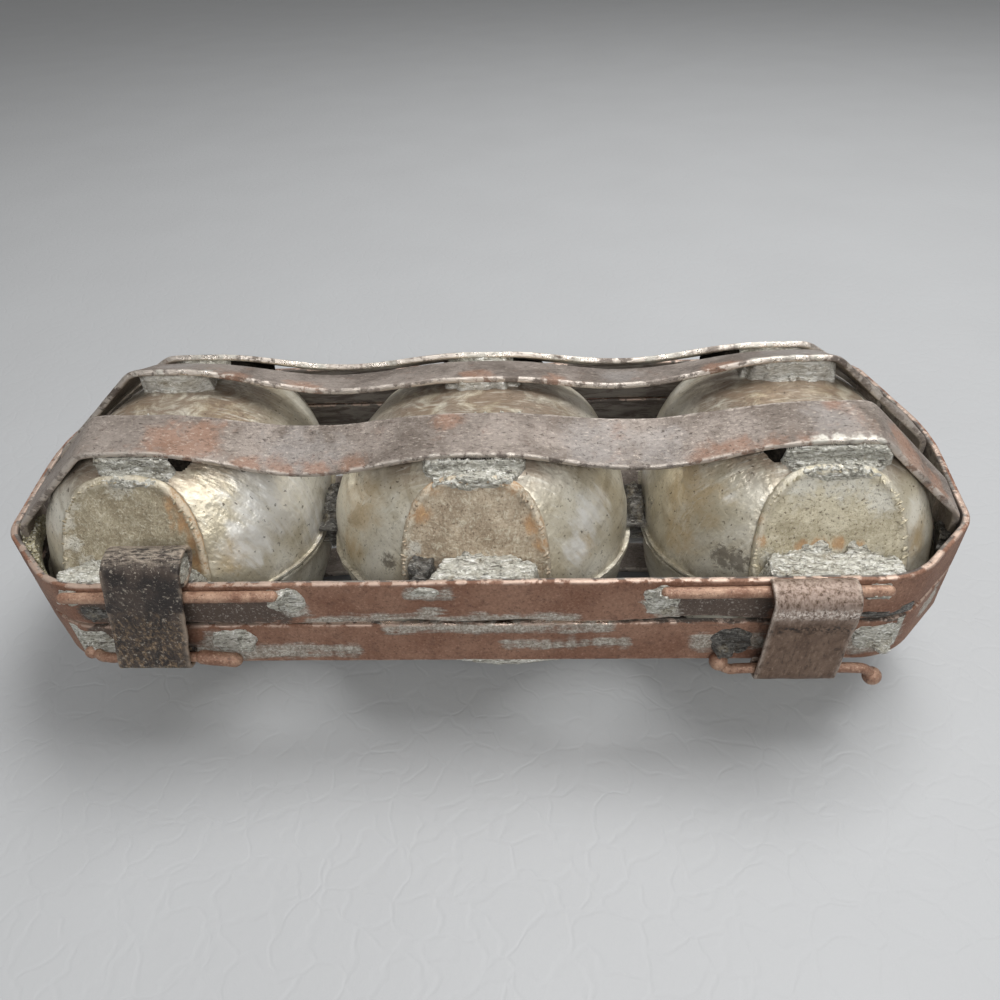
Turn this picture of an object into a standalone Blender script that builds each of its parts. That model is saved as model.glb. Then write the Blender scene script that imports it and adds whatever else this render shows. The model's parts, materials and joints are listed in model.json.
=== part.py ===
"""Antique three-cavity chocolate mould: two hinged halves held shut by two swinging clips.

Each half is three tinned half-egg shells in a flat iron band, with three iron straps over
them. Metres, +Z up, X along the mould, +Y to the hinge side. Every half is drawn once in its
own frame, with y = 0 on the front rail's outer face and z = 0 on the parting plane, and the
lower half is the upper one turned half a turn about Y.
"""
import math

import bmesh
import bpy
from mathutils import Vector

# Stock and clearances
STRIP_WIDTH = 0.0127
STRIP_THICKNESS = 0.0016
SHEET = 0.0008
CLIP_SHEET = 0.0010
SEAT_GAP = 0.0003
PARTING_GAP = 0.0006

# Shells
SHELL_PITCH = 0.0795
SHELL_HALF_WIDTH = 0.0372
END_SHELL_OUTER_HALF_WIDTH = 0.0322
SHELL_HEIGHT = 0.0339
CENTER_SHELL_DROP = 0.0010
SHELL_WIDEST_Y = 0.0350
SHELL_END_CLEARANCE = 0.0009
SHELL_RIM = 0.0009
RIM_THICKNESS = 0.0006
INNER_FULLNESS = 2.5
OUTER_FULLNESS = 1.8
TAIL_FULLNESS = 2.2
TAIL_PLAN_FULLNESS = 2.2
FRONT_RINGS = 5
TAIL_RINGS = 7
ARC_STEPS = 14

# End plates
PLATE_FOOT_Y = 0.0042
PLATE_LEAN = 0.43
PLATE_HALF_WIDTH = 0.0166
PLATE_HEIGHT = 0.0296
PLATE_OVERLAP = 0.0009
PLATE_FULLNESS = 3.0

# Frame band, seen from above: how far its corners reach past the outer shells' middles
RAIL_END_REACH = 0.0165
TIP_REACH = 0.0353
TIP_Y = 0.0190
SIDE_BOW_REACH = 0.0400
SIDE_BOW_Y = 0.0550
REAR_CORNER_REACH = 0.0311
BAND_DEPTH = 0.0970
RAIL_END_RADIUS = 0.0200
TIP_RADIUS = 0.0120
SIDE_BOW_RADIUS = 0.0600
REAR_CORNER_RADIUS = 0.0140

# Straps: where each one's front edge crosses the shells, its run over them, and how far past the
# outer shells' middles its end bends are.
# Pairs are for the front edge and the rear edge: the dip between two shells, and the lift of
# the crests over the outer shells off their seats.
STRAPS = {
    "front": {"front_y": 0.0200, "run": 0.0122, "bend_reach": 0.0105,
              "dips": (0.0055, 0.0032), "lifts": (0.0010, 0.0003)},
    "middle": {"front_y": 0.0500, "run": 0.0124, "bend_reach": 0.0085,
               "dips": (0.0044, 0.0038), "lifts": (0.0032, 0.0003)},
    "rear": {"front_y": 0.0730, "run": 0.0108, "bend_reach": 0.0095,
             "dips": (0.0035, 0.0035), "lifts": (0.0003, 0.0003)},
}
STRAP_CREST_FLAT = 0.0040
STRAP_LAP = 0.0080
STRAP_SHOULDER = 0.0008
STRAP_WAVE_STEPS = 8
PAD_THICKNESS = 0.0007
PAD_FACET_CLEARANCE = 0.0003
PAD_HALF_LENGTH = 0.0130
PAD_EDGE_INSET = 0.0005
PAD_BEND_INSET = 0.0012

# Solder fillets behind the front rail
FILLET_HALF_LENGTH = 0.0110
FILLET_FOOT = 0.0030
FILLET_RISE = 0.0030

# Clips and their wires
WIRE_RADIUS = 0.0014
PIVOT_RADIUS = 0.0012
FOLD_CLEARANCE = 0.0003
RAIL_CLEARANCE = 0.0006
CATCH_DROP = 0.0017
CLIPS = {
    "left": {
        "centre_x": -0.0755, "width": 0.0172, "lean": 0.0047, "pivot_rise": 0.0050,
        "roll_radius": 0.0046, "roll_rise": 0.0056, "roll_y": 0.0005, "roll_start": -130.0,
        "catch": (-0.0918, -0.0444), "pivot": (-0.0918, -0.0540),
    },
    "right": {
        "centre_x": 0.0728, "width": 0.0182, "lean": 0.0, "pivot_rise": 0.0,
        "roll_radius": 0.0047, "roll_rise": -0.0035, "roll_y": -0.0019, "roll_start": 70.0,
        "catch": (0.0420, 0.0888), "pivot": (0.0565, 0.0928),
    },
}

# Hinge
HINGE_X = 0.0500
HINGE_LENGTH = 0.0300
HINGE_SHEET = 0.0011
PIN_RADIUS = 0.0014
KNUCKLE_CLEARANCE = 0.0003
LEAF_DEPTH = 0.0110
KNUCKLE_SHARE = 1.0 / 3.0

# What follows from the values above
SHELL_END_Y = BAND_DEPTH - STRIP_THICKNESS - SHELL_RIM - SHELL_END_CLEARANCE
HALF_GAP = PARTING_GAP / 2
BAND_TOP = HALF_GAP + STRIP_WIDTH
KNUCKLE_INNER = PIN_RADIUS + KNUCKLE_CLEARANCE
KNUCKLE_OUTER = KNUCKLE_INNER + HINGE_SHEET
HINGE_Y = BAND_DEPTH + SEAT_GAP + KNUCKLE_OUTER
FOLD_OUTER = PIVOT_RADIUS + FOLD_CLEARANCE + CLIP_SHEET
PIVOT_Y = -(RAIL_CLEARANCE + FOLD_OUTER)
LOWEST_PIVOT_Z = -(BAND_TOP - PIVOT_RADIUS / 2)
CATCH_Y = -(SEAT_GAP + WIRE_RADIUS)
CATCH_Z = BAND_TOP - CATCH_DROP
STRAP_SEAT = PAD_THICKNESS + PAD_FACET_CLEARANCE + 2 * SEAT_GAP
CLIP_FRONT_Y = min([PIVOT_Y - FOLD_OUTER] + [c["roll_y"] - c["roll_radius"] for c in CLIPS.values()])
MOULD_MIDDLE_Y = (HINGE_Y + KNUCKLE_OUTER + CLIP_FRONT_Y) / 2

SIDES = {"left": -1, "center": 0, "right": 1}


def clear_scene():
    for old in list(bpy.data.objects):
        bpy.data.objects.remove(old, do_unlink=True)


def make_material(name, colour, roughness, metallic):
    material = bpy.data.materials.new(name)
    material.use_nodes = True
    shader = material.node_tree.nodes["Principled BSDF"]
    shader.inputs["Base Color"].default_value = (*colour, 1.0)
    shader.inputs["Roughness"].default_value = roughness
    shader.inputs["Metallic"].default_value = metallic
    return material


def add_object(name, data, material, parent, location=(0, 0, 0), rotation=(0, 0, 0)):
    data.materials.clear()
    data.materials.append(material)
    obj = bpy.data.objects.new(name, data)
    bpy.context.scene.collection.objects.link(obj)
    obj.parent = parent
    obj.location = location
    obj.rotation_euler = rotation
    return obj


def add_empty(name, location, rotation=(0, 0, 0), parent=None):
    empty = bpy.data.objects.new(name, None)
    bpy.context.scene.collection.objects.link(empty)
    empty.location = location
    empty.rotation_euler = rotation
    empty.parent = parent
    return empty


def finish_mesh(name, bm, smooth_angle=None):
    bmesh.ops.recalc_face_normals(bm, faces=bm.faces)
    mesh = bpy.data.meshes.new(name)
    bm.to_mesh(mesh)
    bm.free()
    if smooth_angle is not None:
        mesh.shade_smooth()
        mesh.set_sharp_from_angle(angle=math.radians(smooth_angle))
    return mesh


def fullness_power(value, fullness):
    """A cosine or sine raised so that x and z run along a superellipse."""
    return math.copysign(abs(value) ** (2.0 / fullness), value)


def blend(start, end, share):
    return start + (end - start) * share


# Shells

def shell_drop(outer_side):
    """How much lower the centre shell is, which has no outer side."""
    return 0.0 if outer_side else CENTER_SHELL_DROP


def shell_stations(inset, drop):
    """Cross-sections of a shell from its cut front to its tail, drawn in by the inset."""
    stations = []
    front_y = PLATE_FOOT_Y + SHEET + SEAT_GAP
    for ring in range(FRONT_RINGS):
        share = ring / FRONT_RINGS
        widening = 1.0 - (1.0 - share) ** 2.5
        stations.append({
            "y": blend(front_y, SHELL_WIDEST_Y, share),
            "lean": PLATE_LEAN * (1.0 - share),
            "widening": widening,
            "width_scale": 1.0,
            "height": blend(PLATE_HEIGHT, SHELL_HEIGHT, 1.0 - (1.0 - share) ** 2) - drop - inset,
            "inner_fullness": blend(PLATE_FULLNESS, INNER_FULLNESS, share),
            "outer_fullness": blend(PLATE_FULLNESS, OUTER_FULLNESS, min(1.0, 1.6 * share)),
        })
    tail = SHELL_END_Y - SHELL_WIDEST_Y - inset
    for ring in range(TAIL_RINGS):
        angle = 0.5 * math.pi * ring / TAIL_RINGS
        reach = fullness_power(math.sin(angle), TAIL_PLAN_FULLNESS)
        crown = (1.0 - reach ** TAIL_FULLNESS) ** (1.0 / TAIL_FULLNESS)
        share = ring / TAIL_RINGS
        stations.append({
            "y": SHELL_WIDEST_Y + tail * reach,
            "lean": 0.0,
            "widening": 1.0,
            "width_scale": fullness_power(math.cos(angle), TAIL_PLAN_FULLNESS),
            "height": (SHELL_HEIGHT - drop - inset) * crown,
            "inner_fullness": blend(INNER_FULLNESS, TAIL_FULLNESS, share),
            "outer_fullness": blend(OUTER_FULLNESS, TAIL_FULLNESS, share),
        })
    return stations


def half_width(station, side, outer_side, inset):
    widest = END_SHELL_OUTER_HALF_WIDTH if side == outer_side else SHELL_HALF_WIDTH
    full = blend(PLATE_HALF_WIDTH, widest, station["widening"])
    return (full - inset) * station["width_scale"]


def shell_ring(station, outer_side, inset, foot):
    """One cross-section from its +X foot over the crown to its -X foot."""
    ring = []
    for step in range(ARC_STEPS + 1):
        angle = math.pi * step / ARC_STEPS
        side = 1 if math.cos(angle) >= 0 else -1
        fullness = station["outer_fullness"] if side == outer_side else station["inner_fullness"]
        x = half_width(station, side, outer_side, inset) * fullness_power(math.cos(angle), fullness)
        rise = max(station["height"] - foot, 0.0)
        z = foot + rise * fullness_power(math.sin(angle), fullness)
        ring.append(Vector((x, station["y"] + station["lean"] * z, z)))
    return ring


def rim_points(rings, pole, foot):
    """The rim's outer edge, round the shell's plan outline, at the given height."""
    outline = [ring[0] for ring in rings] + [pole] + [ring[-1] for ring in reversed(rings)]
    points = []
    for index, point in enumerate(outline):
        before = outline[max(index - 1, 0)]
        after = outline[min(index + 1, len(outline) - 1)]
        along = (after - before).normalized()
        away = Vector((along.y, -along.x, 0.0)).normalized()
        if index in (0, len(outline) - 1):
            away = Vector((math.copysign(1.0, away.x), 0.0, 0.0))
        points.append(Vector((point.x, point.y, foot)) + away * SHELL_RIM)
    return points


def shell_mesh(name, outer_side):
    """A drawn half-egg with its rim, open at the mouth and at the cut front."""
    bm = bmesh.new()
    rim_top = HALF_GAP + RIM_THICKNESS
    drop = shell_drop(outer_side)
    outer = [shell_ring(s, outer_side, 0.0, rim_top) for s in shell_stations(0.0, drop)]
    inner = [shell_ring(s, outer_side, SHEET, HALF_GAP) for s in shell_stations(SHEET, drop)]
    outer_pole = Vector((0, SHELL_END_Y, rim_top))
    inner_pole = Vector((0, SHELL_END_Y - SHEET, HALF_GAP))
    rim_high = rim_points(outer, outer_pole, rim_top)
    rim_low = [Vector((p.x, p.y, HALF_GAP)) for p in rim_high]

    outer_verts = [[bm.verts.new(p) for p in ring] for ring in outer]
    inner_verts = [[bm.verts.new(p) for p in ring] for ring in inner]
    outer_end = bm.verts.new(outer_pole)
    inner_end = bm.verts.new(inner_pole)
    high = [bm.verts.new(p) for p in rim_high]
    low = [bm.verts.new(p) for p in rim_low]

    for rings, end in ((outer_verts, outer_end), (inner_verts, inner_end)):
        for first, second in zip(rings, rings[1:]):
            for step in range(ARC_STEPS):
                bm.faces.new((first[step], first[step + 1], second[step + 1], second[step]))
        for step in range(ARC_STEPS):
            bm.faces.new((rings[-1][step], rings[-1][step + 1], end))

    outer_edge = [r[0] for r in outer_verts] + [outer_end] + [r[-1] for r in reversed(outer_verts)]
    inner_edge = [r[0] for r in inner_verts] + [inner_end] + [r[-1] for r in reversed(inner_verts)]
    for index in range(len(outer_edge) - 1):
        following = index + 1
        bm.faces.new((outer_edge[index], outer_edge[following], high[following], high[index]))
        bm.faces.new((high[index], high[following], low[following], low[index]))
        bm.faces.new((low[index], low[following], inner_edge[following], inner_edge[index]))

    front_outer = outer_verts[0]
    front_inner = inner_verts[0]
    for step in range(ARC_STEPS):
        bm.faces.new((front_outer[step], front_outer[step + 1], front_inner[step + 1], front_inner[step]))
    bm.faces.new((front_outer[0], front_inner[0], low[0], high[0]))
    bm.faces.new((front_outer[-1], front_inner[-1], low[-1], high[-1]))
    return finish_mesh(name, bm, 50)


def station_at(y, z, drop):
    """The shell's cross-section that passes through a depth y at a height z."""
    stations = shell_stations(0.0, drop)
    places = [s["y"] + s["lean"] * z for s in stations]
    for first, second, low, high in zip(stations, stations[1:], places, places[1:]):
        if low <= y <= high:
            share = (y - low) / (high - low)
            return {key: blend(first[key], second[key], share) for key in first}
    return stations[0] if y < places[0] else stations[-1]


def shell_height(x, y, outer_side):
    """Height of the shell's outer face above the parting plane at a place under a strap."""
    side = 1 if x >= 0 else -1
    z = SHELL_HEIGHT
    for _ in range(12):
        station = station_at(y, z, shell_drop(outer_side))
        fullness = station["outer_fullness"] if side == outer_side else station["inner_fullness"]
        share = min(1.0, abs(x) / half_width(station, side, outer_side, 0.0))
        z = station["height"] * (1.0 - share ** fullness) ** (1.0 / fullness)
    return z


# End plates

def plate_mesh(name, drop):
    """A flat sheet with an arched outline, leaning back from its foot."""
    bm = bmesh.new()
    steps = 22
    half = PLATE_HALF_WIDTH + PLATE_OVERLAP
    height = PLATE_HEIGHT - drop + PLATE_OVERLAP
    outline = []
    for step in range(steps + 1):
        angle = math.pi * step / steps
        x = half * fullness_power(math.cos(angle), PLATE_FULLNESS)
        z = HALF_GAP + (height - HALF_GAP) * fullness_power(math.sin(angle), PLATE_FULLNESS)
        outline.append((x, z))
    front = [bm.verts.new((x, PLATE_FOOT_Y + PLATE_LEAN * z, z)) for x, z in outline]
    back = [bm.verts.new((x, PLATE_FOOT_Y + PLATE_LEAN * z + SHEET, z)) for x, z in outline]
    bm.faces.new(front)
    bm.faces.new(list(reversed(back)))
    for index in range(len(outline)):
        following = (index + 1) % len(outline)
        bm.faces.new((front[index], front[following], back[following], back[index]))
    return finish_mesh(name, bm)


# Frame band

def rounded_outline(corners, steps):
    """Points round a polygon whose corners are (x, y, radius)."""
    points = []
    count = len(corners)
    for index, (x, y, radius) in enumerate(corners):
        corner = Vector((x, y, 0))
        before = Vector((*corners[index - 1][:2], 0))
        after = Vector((*corners[(index + 1) % count][:2], 0))
        back = (before - corner).normalized()
        ahead = (after - corner).normalized()
        opening = back.angle(ahead)
        reach = radius / math.tan(opening / 2)
        centre = corner + (back + ahead).normalized() * (radius / math.sin(opening / 2))
        start = (corner + back * reach - centre).normalized()
        end = (corner + ahead * reach - centre).normalized()
        for step in range(steps + 1):
            points.append(centre + start.slerp(end, step / steps) * radius)
    return points


def offset_outline(points, distance):
    """The closed outline moved inward by a distance."""
    moved = []
    count = len(points)
    for index, point in enumerate(points):
        before = (point - points[index - 1]).normalized()
        after = (points[(index + 1) % count] - point).normalized()
        inward = Vector((-(before.y + after.y), before.x + after.x, 0)).normalized()
        spread = max(inward.dot(Vector((-before.y, before.x, 0))), 0.5)
        moved.append(point + inward * (distance / spread))
    return moved


def band_outline():
    right = [
        (SHELL_PITCH + RAIL_END_REACH, 0.0, RAIL_END_RADIUS),
        (SHELL_PITCH + TIP_REACH, TIP_Y, TIP_RADIUS),
        (SHELL_PITCH + SIDE_BOW_REACH, SIDE_BOW_Y, SIDE_BOW_RADIUS),
        (SHELL_PITCH + REAR_CORNER_REACH, BAND_DEPTH, REAR_CORNER_RADIUS),
    ]
    left = [(-x, y, radius) for x, y, radius in reversed(right)]
    return rounded_outline(right + left, 6)


def band_inner_x(y):
    """Half the width inside the band's end sides at a depth y."""
    inner = offset_outline(band_outline(), STRIP_THICKNESS)
    reach = 0.0
    for first, second in zip(inner, inner[1:] + inner[:1]):
        low, high = sorted((first, second), key=lambda p: p.y)
        if first.x > 0 and low.y <= y <= high.y and high.y - low.y > 1e-9:
            share = (y - low.y) / (high.y - low.y)
            reach = max(reach, blend(low.x, high.x, share))
    return reach


def band_mesh(name):
    """The strip on edge, bent round all three shells and closed on itself."""
    bm = bmesh.new()
    outer = band_outline()
    inner = offset_outline(outer, STRIP_THICKNESS)
    loops = []
    for points, z in ((outer, HALF_GAP), (outer, BAND_TOP), (inner, BAND_TOP), (inner, HALF_GAP)):
        loops.append([bm.verts.new((p.x, p.y, z)) for p in points])
    count = len(outer)
    for first, second in zip(loops, loops[1:] + loops[:1]):
        for index in range(count):
            following = (index + 1) % count
            bm.faces.new((first[index], first[following], second[following], second[index]))
    return finish_mesh(name, bm, 30)


# Straps

def strap_wave(x, dip):
    """How far the strap has dipped at x: nothing on a crest, all of it between two shells."""
    if abs(x) >= SHELL_PITCH:
        return 0.0
    away = abs(x - SHELL_PITCH * round(x / SHELL_PITCH))
    if away <= STRAP_CREST_FLAT:
        return 0.0
    share = (away - STRAP_CREST_FLAT) / (SHELL_PITCH / 2 - STRAP_CREST_FLAT)
    return dip * 0.5 * (1.0 - math.cos(math.pi * share))


def seat_heights(strap, outer_side):
    """Heights of a strap's two edges, laid on its pad clear of one shell's crown."""
    shares = [step / 6 for step in range(7)]
    crowns = [shell_height(0.0, strap["front_y"] + strap["run"] * share, outer_side) for share in shares]
    bulges = [crown - blend(crowns[0], crowns[-1], share) for crown, share in zip(crowns, shares)]
    seat = max(bulges) + STRAP_SEAT + STRIP_THICKNESS
    return crowns[0] + seat, crowns[-1] + seat


def strap_crests(strap, level):
    """For each long edge, its heights over the centre shell and over the outer shells."""
    if level:
        return [(rest_height(), rest_height())] * 2
    centers = seat_heights(strap, 0)
    ends = [seat + lift for seat, lift in zip(seat_heights(strap, 1), strap["lifts"])]
    return list(zip(centers, ends))


def rest_height():
    """The highest crests: the front strap's rear edge over the outer shells, on which the mould lies."""
    strap = STRAPS["front"]
    return seat_heights(strap, 1)[1] + strap["lifts"][1]


def strap_height(x, crests, dip):
    """Height of one long edge of a strap's outer face at x."""
    center, end = crests
    outward = min(1.0, abs(x) / SHELL_PITCH)
    return blend(center, end, 0.5 * (1.0 - math.cos(math.pi * outward))) - strap_wave(x, dip)


def strap_xs(bend_x):
    """Places along the strap from its left bend to its right one."""
    xs = [-bend_x]
    for crest in (-1, 0, 1):
        xs.append(crest * SHELL_PITCH - STRAP_CREST_FLAT)
        xs.append(crest * SHELL_PITCH + STRAP_CREST_FLAT)
        if crest < 1:
            span = SHELL_PITCH - 2 * STRAP_CREST_FLAT
            start = crest * SHELL_PITCH + STRAP_CREST_FLAT
            xs += [start + span * step / STRAP_WAVE_STEPS for step in range(1, STRAP_WAVE_STEPS)]
    return xs + [bend_x]


def strap_edge(y, crests, dip, bend_x):
    """Outer-face points of one long edge: lap, slope, waves, slope, lap."""
    reach = band_inner_x(y) - SEAT_GAP
    lap_end = (reach, BAND_TOP - STRAP_LAP)
    shoulder = (reach, BAND_TOP + STRAP_SHOULDER)
    over = [(x, strap_height(x, crests, dip)) for x in strap_xs(bend_x)]
    left = [(-lap_end[0], lap_end[1]), (-shoulder[0], shoulder[1])]
    points = left + over + [shoulder, lap_end]
    return [Vector((x, y, z)) for x, z in points]


def strap_edges(strap, level):
    """The outer face's front and rear edges."""
    edges = []
    places = (strap["front_y"], strap["front_y"] + strap["run"])
    for y, crests, dip in zip(places, strap_crests(strap, level), strap["dips"]):
        edges.append(strap_edge(y, crests, dip, SHELL_PITCH + strap["bend_reach"]))
    return edges


def inner_face(points):
    """The same edge on the strap's other face, one strip thickness in."""
    moved = []
    for index, point in enumerate(points):
        before = points[index] - points[max(index - 1, 0)]
        after = points[min(index + 1, len(points) - 1)] - points[index]
        first = before.normalized() if before.length else after.normalized()
        second = after.normalized() if after.length else before.normalized()
        first_in = Vector((first.z, 0, -first.x))
        second_in = Vector((second.z, 0, -second.x))
        inward = (first_in + second_in).normalized()
        moved.append(point + inward * (STRIP_THICKNESS / inward.dot(first_in)))
    return moved


def strap_mesh(name, strap, level):
    bm = bmesh.new()
    front_edge, rear_edge = strap_edges(strap, level)
    rows = []
    for points in (front_edge, rear_edge, inner_face(rear_edge), inner_face(front_edge)):
        rows.append([bm.verts.new(p) for p in points])
    for first, second in zip(rows, rows[1:] + rows[:1]):
        for index in range(len(first) - 1):
            bm.faces.new((first[index], first[index + 1], second[index + 1], second[index]))
    bm.faces.new([row[0] for row in rows])
    bm.faces.new([row[-1] for row in reversed(rows)])
    return finish_mesh(name, bm, 30)


# Solder

def pad_mesh(name, strap, level, outer_side):
    """Solder that fills the space between a shell's crown and the strap over it."""
    bm = bmesh.new()
    columns = 8
    rows = 3
    outward = min(PAD_HALF_LENGTH, strap["bend_reach"] - PAD_BEND_INSET)
    ends = (-PAD_HALF_LENGTH, outward if outer_side else PAD_HALF_LENGTH)
    edges = list(zip(strap_crests(strap, level), strap["dips"]))
    low_rows = []
    high_rows = []
    for row in range(rows + 1):
        across = blend(PAD_EDGE_INSET, strap["run"] - PAD_EDGE_INSET, row / rows)
        low_row = []
        high_row = []
        for column in range(columns + 1):
            x = blend(*ends, column / columns) * (outer_side or 1)
            front, rear = (strap_height(outer_side * SHELL_PITCH + x, *edge) for edge in edges)
            under = blend(front, rear, across / strap["run"]) - STRIP_THICKNESS - SEAT_GAP
            y = strap["front_y"] + across
            seat = shell_height(x, y, outer_side) + SEAT_GAP + PAD_FACET_CLEARANCE
            low_row.append(bm.verts.new((x, y, seat)))
            high_row.append(bm.verts.new((x, y, max(under, seat + PAD_THICKNESS / 2))))
        low_rows.append(low_row)
        high_rows.append(high_row)
    for grid in (low_rows, high_rows):
        for first, second in zip(grid, grid[1:]):
            for column in range(columns):
                bm.faces.new((first[column], first[column + 1], second[column + 1], second[column]))
    for low, high in ((low_rows[0], high_rows[0]), (low_rows[-1], high_rows[-1])):
        for column in range(columns):
            bm.faces.new((low[column], low[column + 1], high[column + 1], high[column]))
    for column in (0, columns):
        for row in range(rows):
            bm.faces.new((low_rows[row][column], low_rows[row + 1][column],
                          high_rows[row + 1][column], high_rows[row][column]))
    return finish_mesh(name, bm, 40)


def fillet_mesh(name):
    """Solder between the front rail's inner face and the foot of an end plate."""
    bm = bmesh.new()
    front_y = STRIP_THICKNESS + SEAT_GAP
    top = BAND_TOP + FILLET_RISE

    def plate_side(z):
        return PLATE_FOOT_Y + PLATE_LEAN * z - SEAT_GAP

    profile = [
        (front_y, FILLET_FOOT),
        (front_y, BAND_TOP),
        (plate_side(top) - SHEET, top),
        (plate_side(top), top),
        (plate_side(FILLET_FOOT), FILLET_FOOT),
    ]
    ends = []
    for x in (-FILLET_HALF_LENGTH, FILLET_HALF_LENGTH):
        ends.append([bm.verts.new((x, y, z)) for y, z in profile])
    bm.faces.new(ends[0])
    bm.faces.new(list(reversed(ends[1])))
    for index in range(len(profile)):
        following = (index + 1) % len(profile)
        bm.faces.new((ends[0][index], ends[0][following], ends[1][following], ends[1][index]))
    return finish_mesh(name, bm)


# Bent sheet: hinge leaves and clips

def arc(centre, radius, start, end, steps):
    """Points (y, z) along an arc, angles in degrees, 0 to the rear and 90 up."""
    points = []
    for step in range(steps + 1):
        angle = math.radians(blend(start, end, step / steps))
        points.append((centre[0] + radius * math.cos(angle), centre[1] + radius * math.sin(angle)))
    return points


def thick_path(path, thickness):
    """Outline of a sheet of the given thickness whose middle follows the path."""
    left = []
    right = []
    for index, (y, z) in enumerate(path):
        before = path[max(index - 1, 0)]
        after = path[min(index + 1, len(path) - 1)]
        along = Vector((after[0] - before[0], after[1] - before[1])).normalized()
        side = Vector((-along.y, along.x)) * (thickness / 2)
        left.append((y + side.x, z + side.y))
        right.append((y - side.x, z - side.y))
    return left + list(reversed(right))


def extrude_profile(bm, profile, low_x, high_x, lean=0.0):
    """A solid between two ends of a (y, z) profile; lean moves it along X for each unit of height."""
    first = [bm.verts.new((low_x + lean * z, y, z)) for y, z in profile]
    second = [bm.verts.new((high_x + lean * z, y, z)) for y, z in profile]
    bm.faces.new(first)
    bm.faces.new(list(reversed(second)))
    for index in range(len(profile)):
        following = (index + 1) % len(profile)
        bm.faces.new((first[index], first[following], second[following], second[index]))


def leaf_object(name, material, parent, location, knuckles, up):
    """A hinge leaf: a flat sheet on the rail whose knuckles curl round the pin.

    Drawn about the pin's axis. The sheet lies on the rail side; up is 1 or -1.
    """
    half = HINGE_LENGTH / 2
    sheet_y = -KNUCKLE_OUTER
    clear_z = KNUCKLE_OUTER + KNUCKLE_CLEARANCE
    bm = bmesh.new()
    flat = [(sheet_y, up * clear_z), (sheet_y + HINGE_SHEET, up * clear_z),
            (sheet_y + HINGE_SHEET, up * LEAF_DEPTH), (sheet_y, up * LEAF_DEPTH)]
    extrude_profile(bm, flat, -half, half)
    leaf = add_object(name, finish_mesh(name, bm), material, parent, location)
    middle = KNUCKLE_OUTER - HINGE_SHEET / 2
    for index, (low, high) in enumerate(knuckles):
        path = [(-middle, up * (clear_z + HINGE_SHEET))]
        path += arc((0, 0), middle, 180, 180 + up * 300, 14)
        bm = bmesh.new()
        extrude_profile(bm, thick_path(path, HINGE_SHEET), low, high)
        knuckle = add_object(f"{name}_knuckle_{index}", finish_mesh(name, bm), material, parent, location)
        knuckle.hide_render = True
        knuckle.display_type = "WIRE"
        join = leaf.modifiers.new(f"knuckle_{index}", "BOOLEAN")
        join.operation = "UNION"
        join.solver = "EXACT"
        join.object = knuckle
    return leaf


def pivot_height(clip):
    return LOWEST_PIVOT_Z + clip["pivot_rise"]


def roll_height(clip):
    """Height of the roll's centre above the pivot."""
    return BAND_TOP + clip["roll_rise"] - pivot_height(clip)


def clip_path(clip):
    """Middle of the clip's sheet in (y, z) about its pivot: roll, strip, fold round the wire."""
    roll_centre = (clip["roll_y"] - PIVOT_Y, roll_height(clip))
    roll_middle = clip["roll_radius"] - CLIP_SHEET / 2
    fold_middle = FOLD_OUTER - CLIP_SHEET / 2
    path = arc(roll_centre, roll_middle, clip["roll_start"], 180, 18)
    path += arc((0, 0), fold_middle, 180, 400, 12)
    return path


def clip_mesh(name, clip):
    bm = bmesh.new()
    half = clip["width"] / 2
    lean = clip["lean"] / roll_height(clip)
    extrude_profile(bm, thick_path(clip_path(clip), CLIP_SHEET), -half, half, lean)
    return finish_mesh(name, bm, 35)


# Wires

def wire_curve(name, points, radius):
    curve = bpy.data.curves.new(name, "CURVE")
    curve.dimensions = "3D"
    curve.bevel_depth = radius
    curve.bevel_resolution = 2
    curve.use_fill_caps = True
    spline = curve.splines.new("POLY")
    spline.points.add(len(points) - 1)
    for place, point in zip(spline.points, points):
        place.co = (*point, 1.0)
    return curve


def pivot_wire_points(clip):
    """From the rail, out to the pivot line, along it and back to the rail."""
    start, end = clip["pivot"]
    seat_y = -(SEAT_GAP + PIVOT_RADIUS)
    height = pivot_height(clip)
    turn = 3 * PIVOT_RADIUS
    ends = []
    for x, inward in ((start, 1), (end, -1)):
        ends.append([
            (x, seat_y, height + turn),
            (x + inward * turn * 0.15, seat_y, height + turn * 0.45),
            (x + inward * turn * 0.45, blend(seat_y, PIVOT_Y, 0.6), height + turn * 0.1),
            (x + inward * turn * 0.9, PIVOT_Y, height),
        ])
    return ends[0] + list(reversed(ends[1]))


# The halves

def build_materials():
    return {
        "tin": make_material("tinned_sheet", (0.42, 0.39, 0.31), 0.38, 0.9),
        "plate": make_material("end_plate_sheet", (0.36, 0.33, 0.24), 0.5, 0.7),
        "iron": make_material("strap_iron", (0.21, 0.16, 0.13), 0.6, 0.6),
        "band": make_material("rusted_band", (0.20, 0.10, 0.07), 0.7, 0.4),
        "solder": make_material("solder", (0.55, 0.54, 0.50), 0.45, 0.8),
        "wire": make_material("rusted_wire", (0.22, 0.11, 0.08), 0.65, 0.4),
        "clip_left": make_material("dark_clip_iron", (0.09, 0.07, 0.06), 0.55, 0.6),
        "clip_right": make_material("brown_clip_iron", (0.17, 0.11, 0.08), 0.5, 0.6),
        "hinge": make_material("hinge_iron", (0.17, 0.13, 0.11), 0.6, 0.5),
    }


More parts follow.
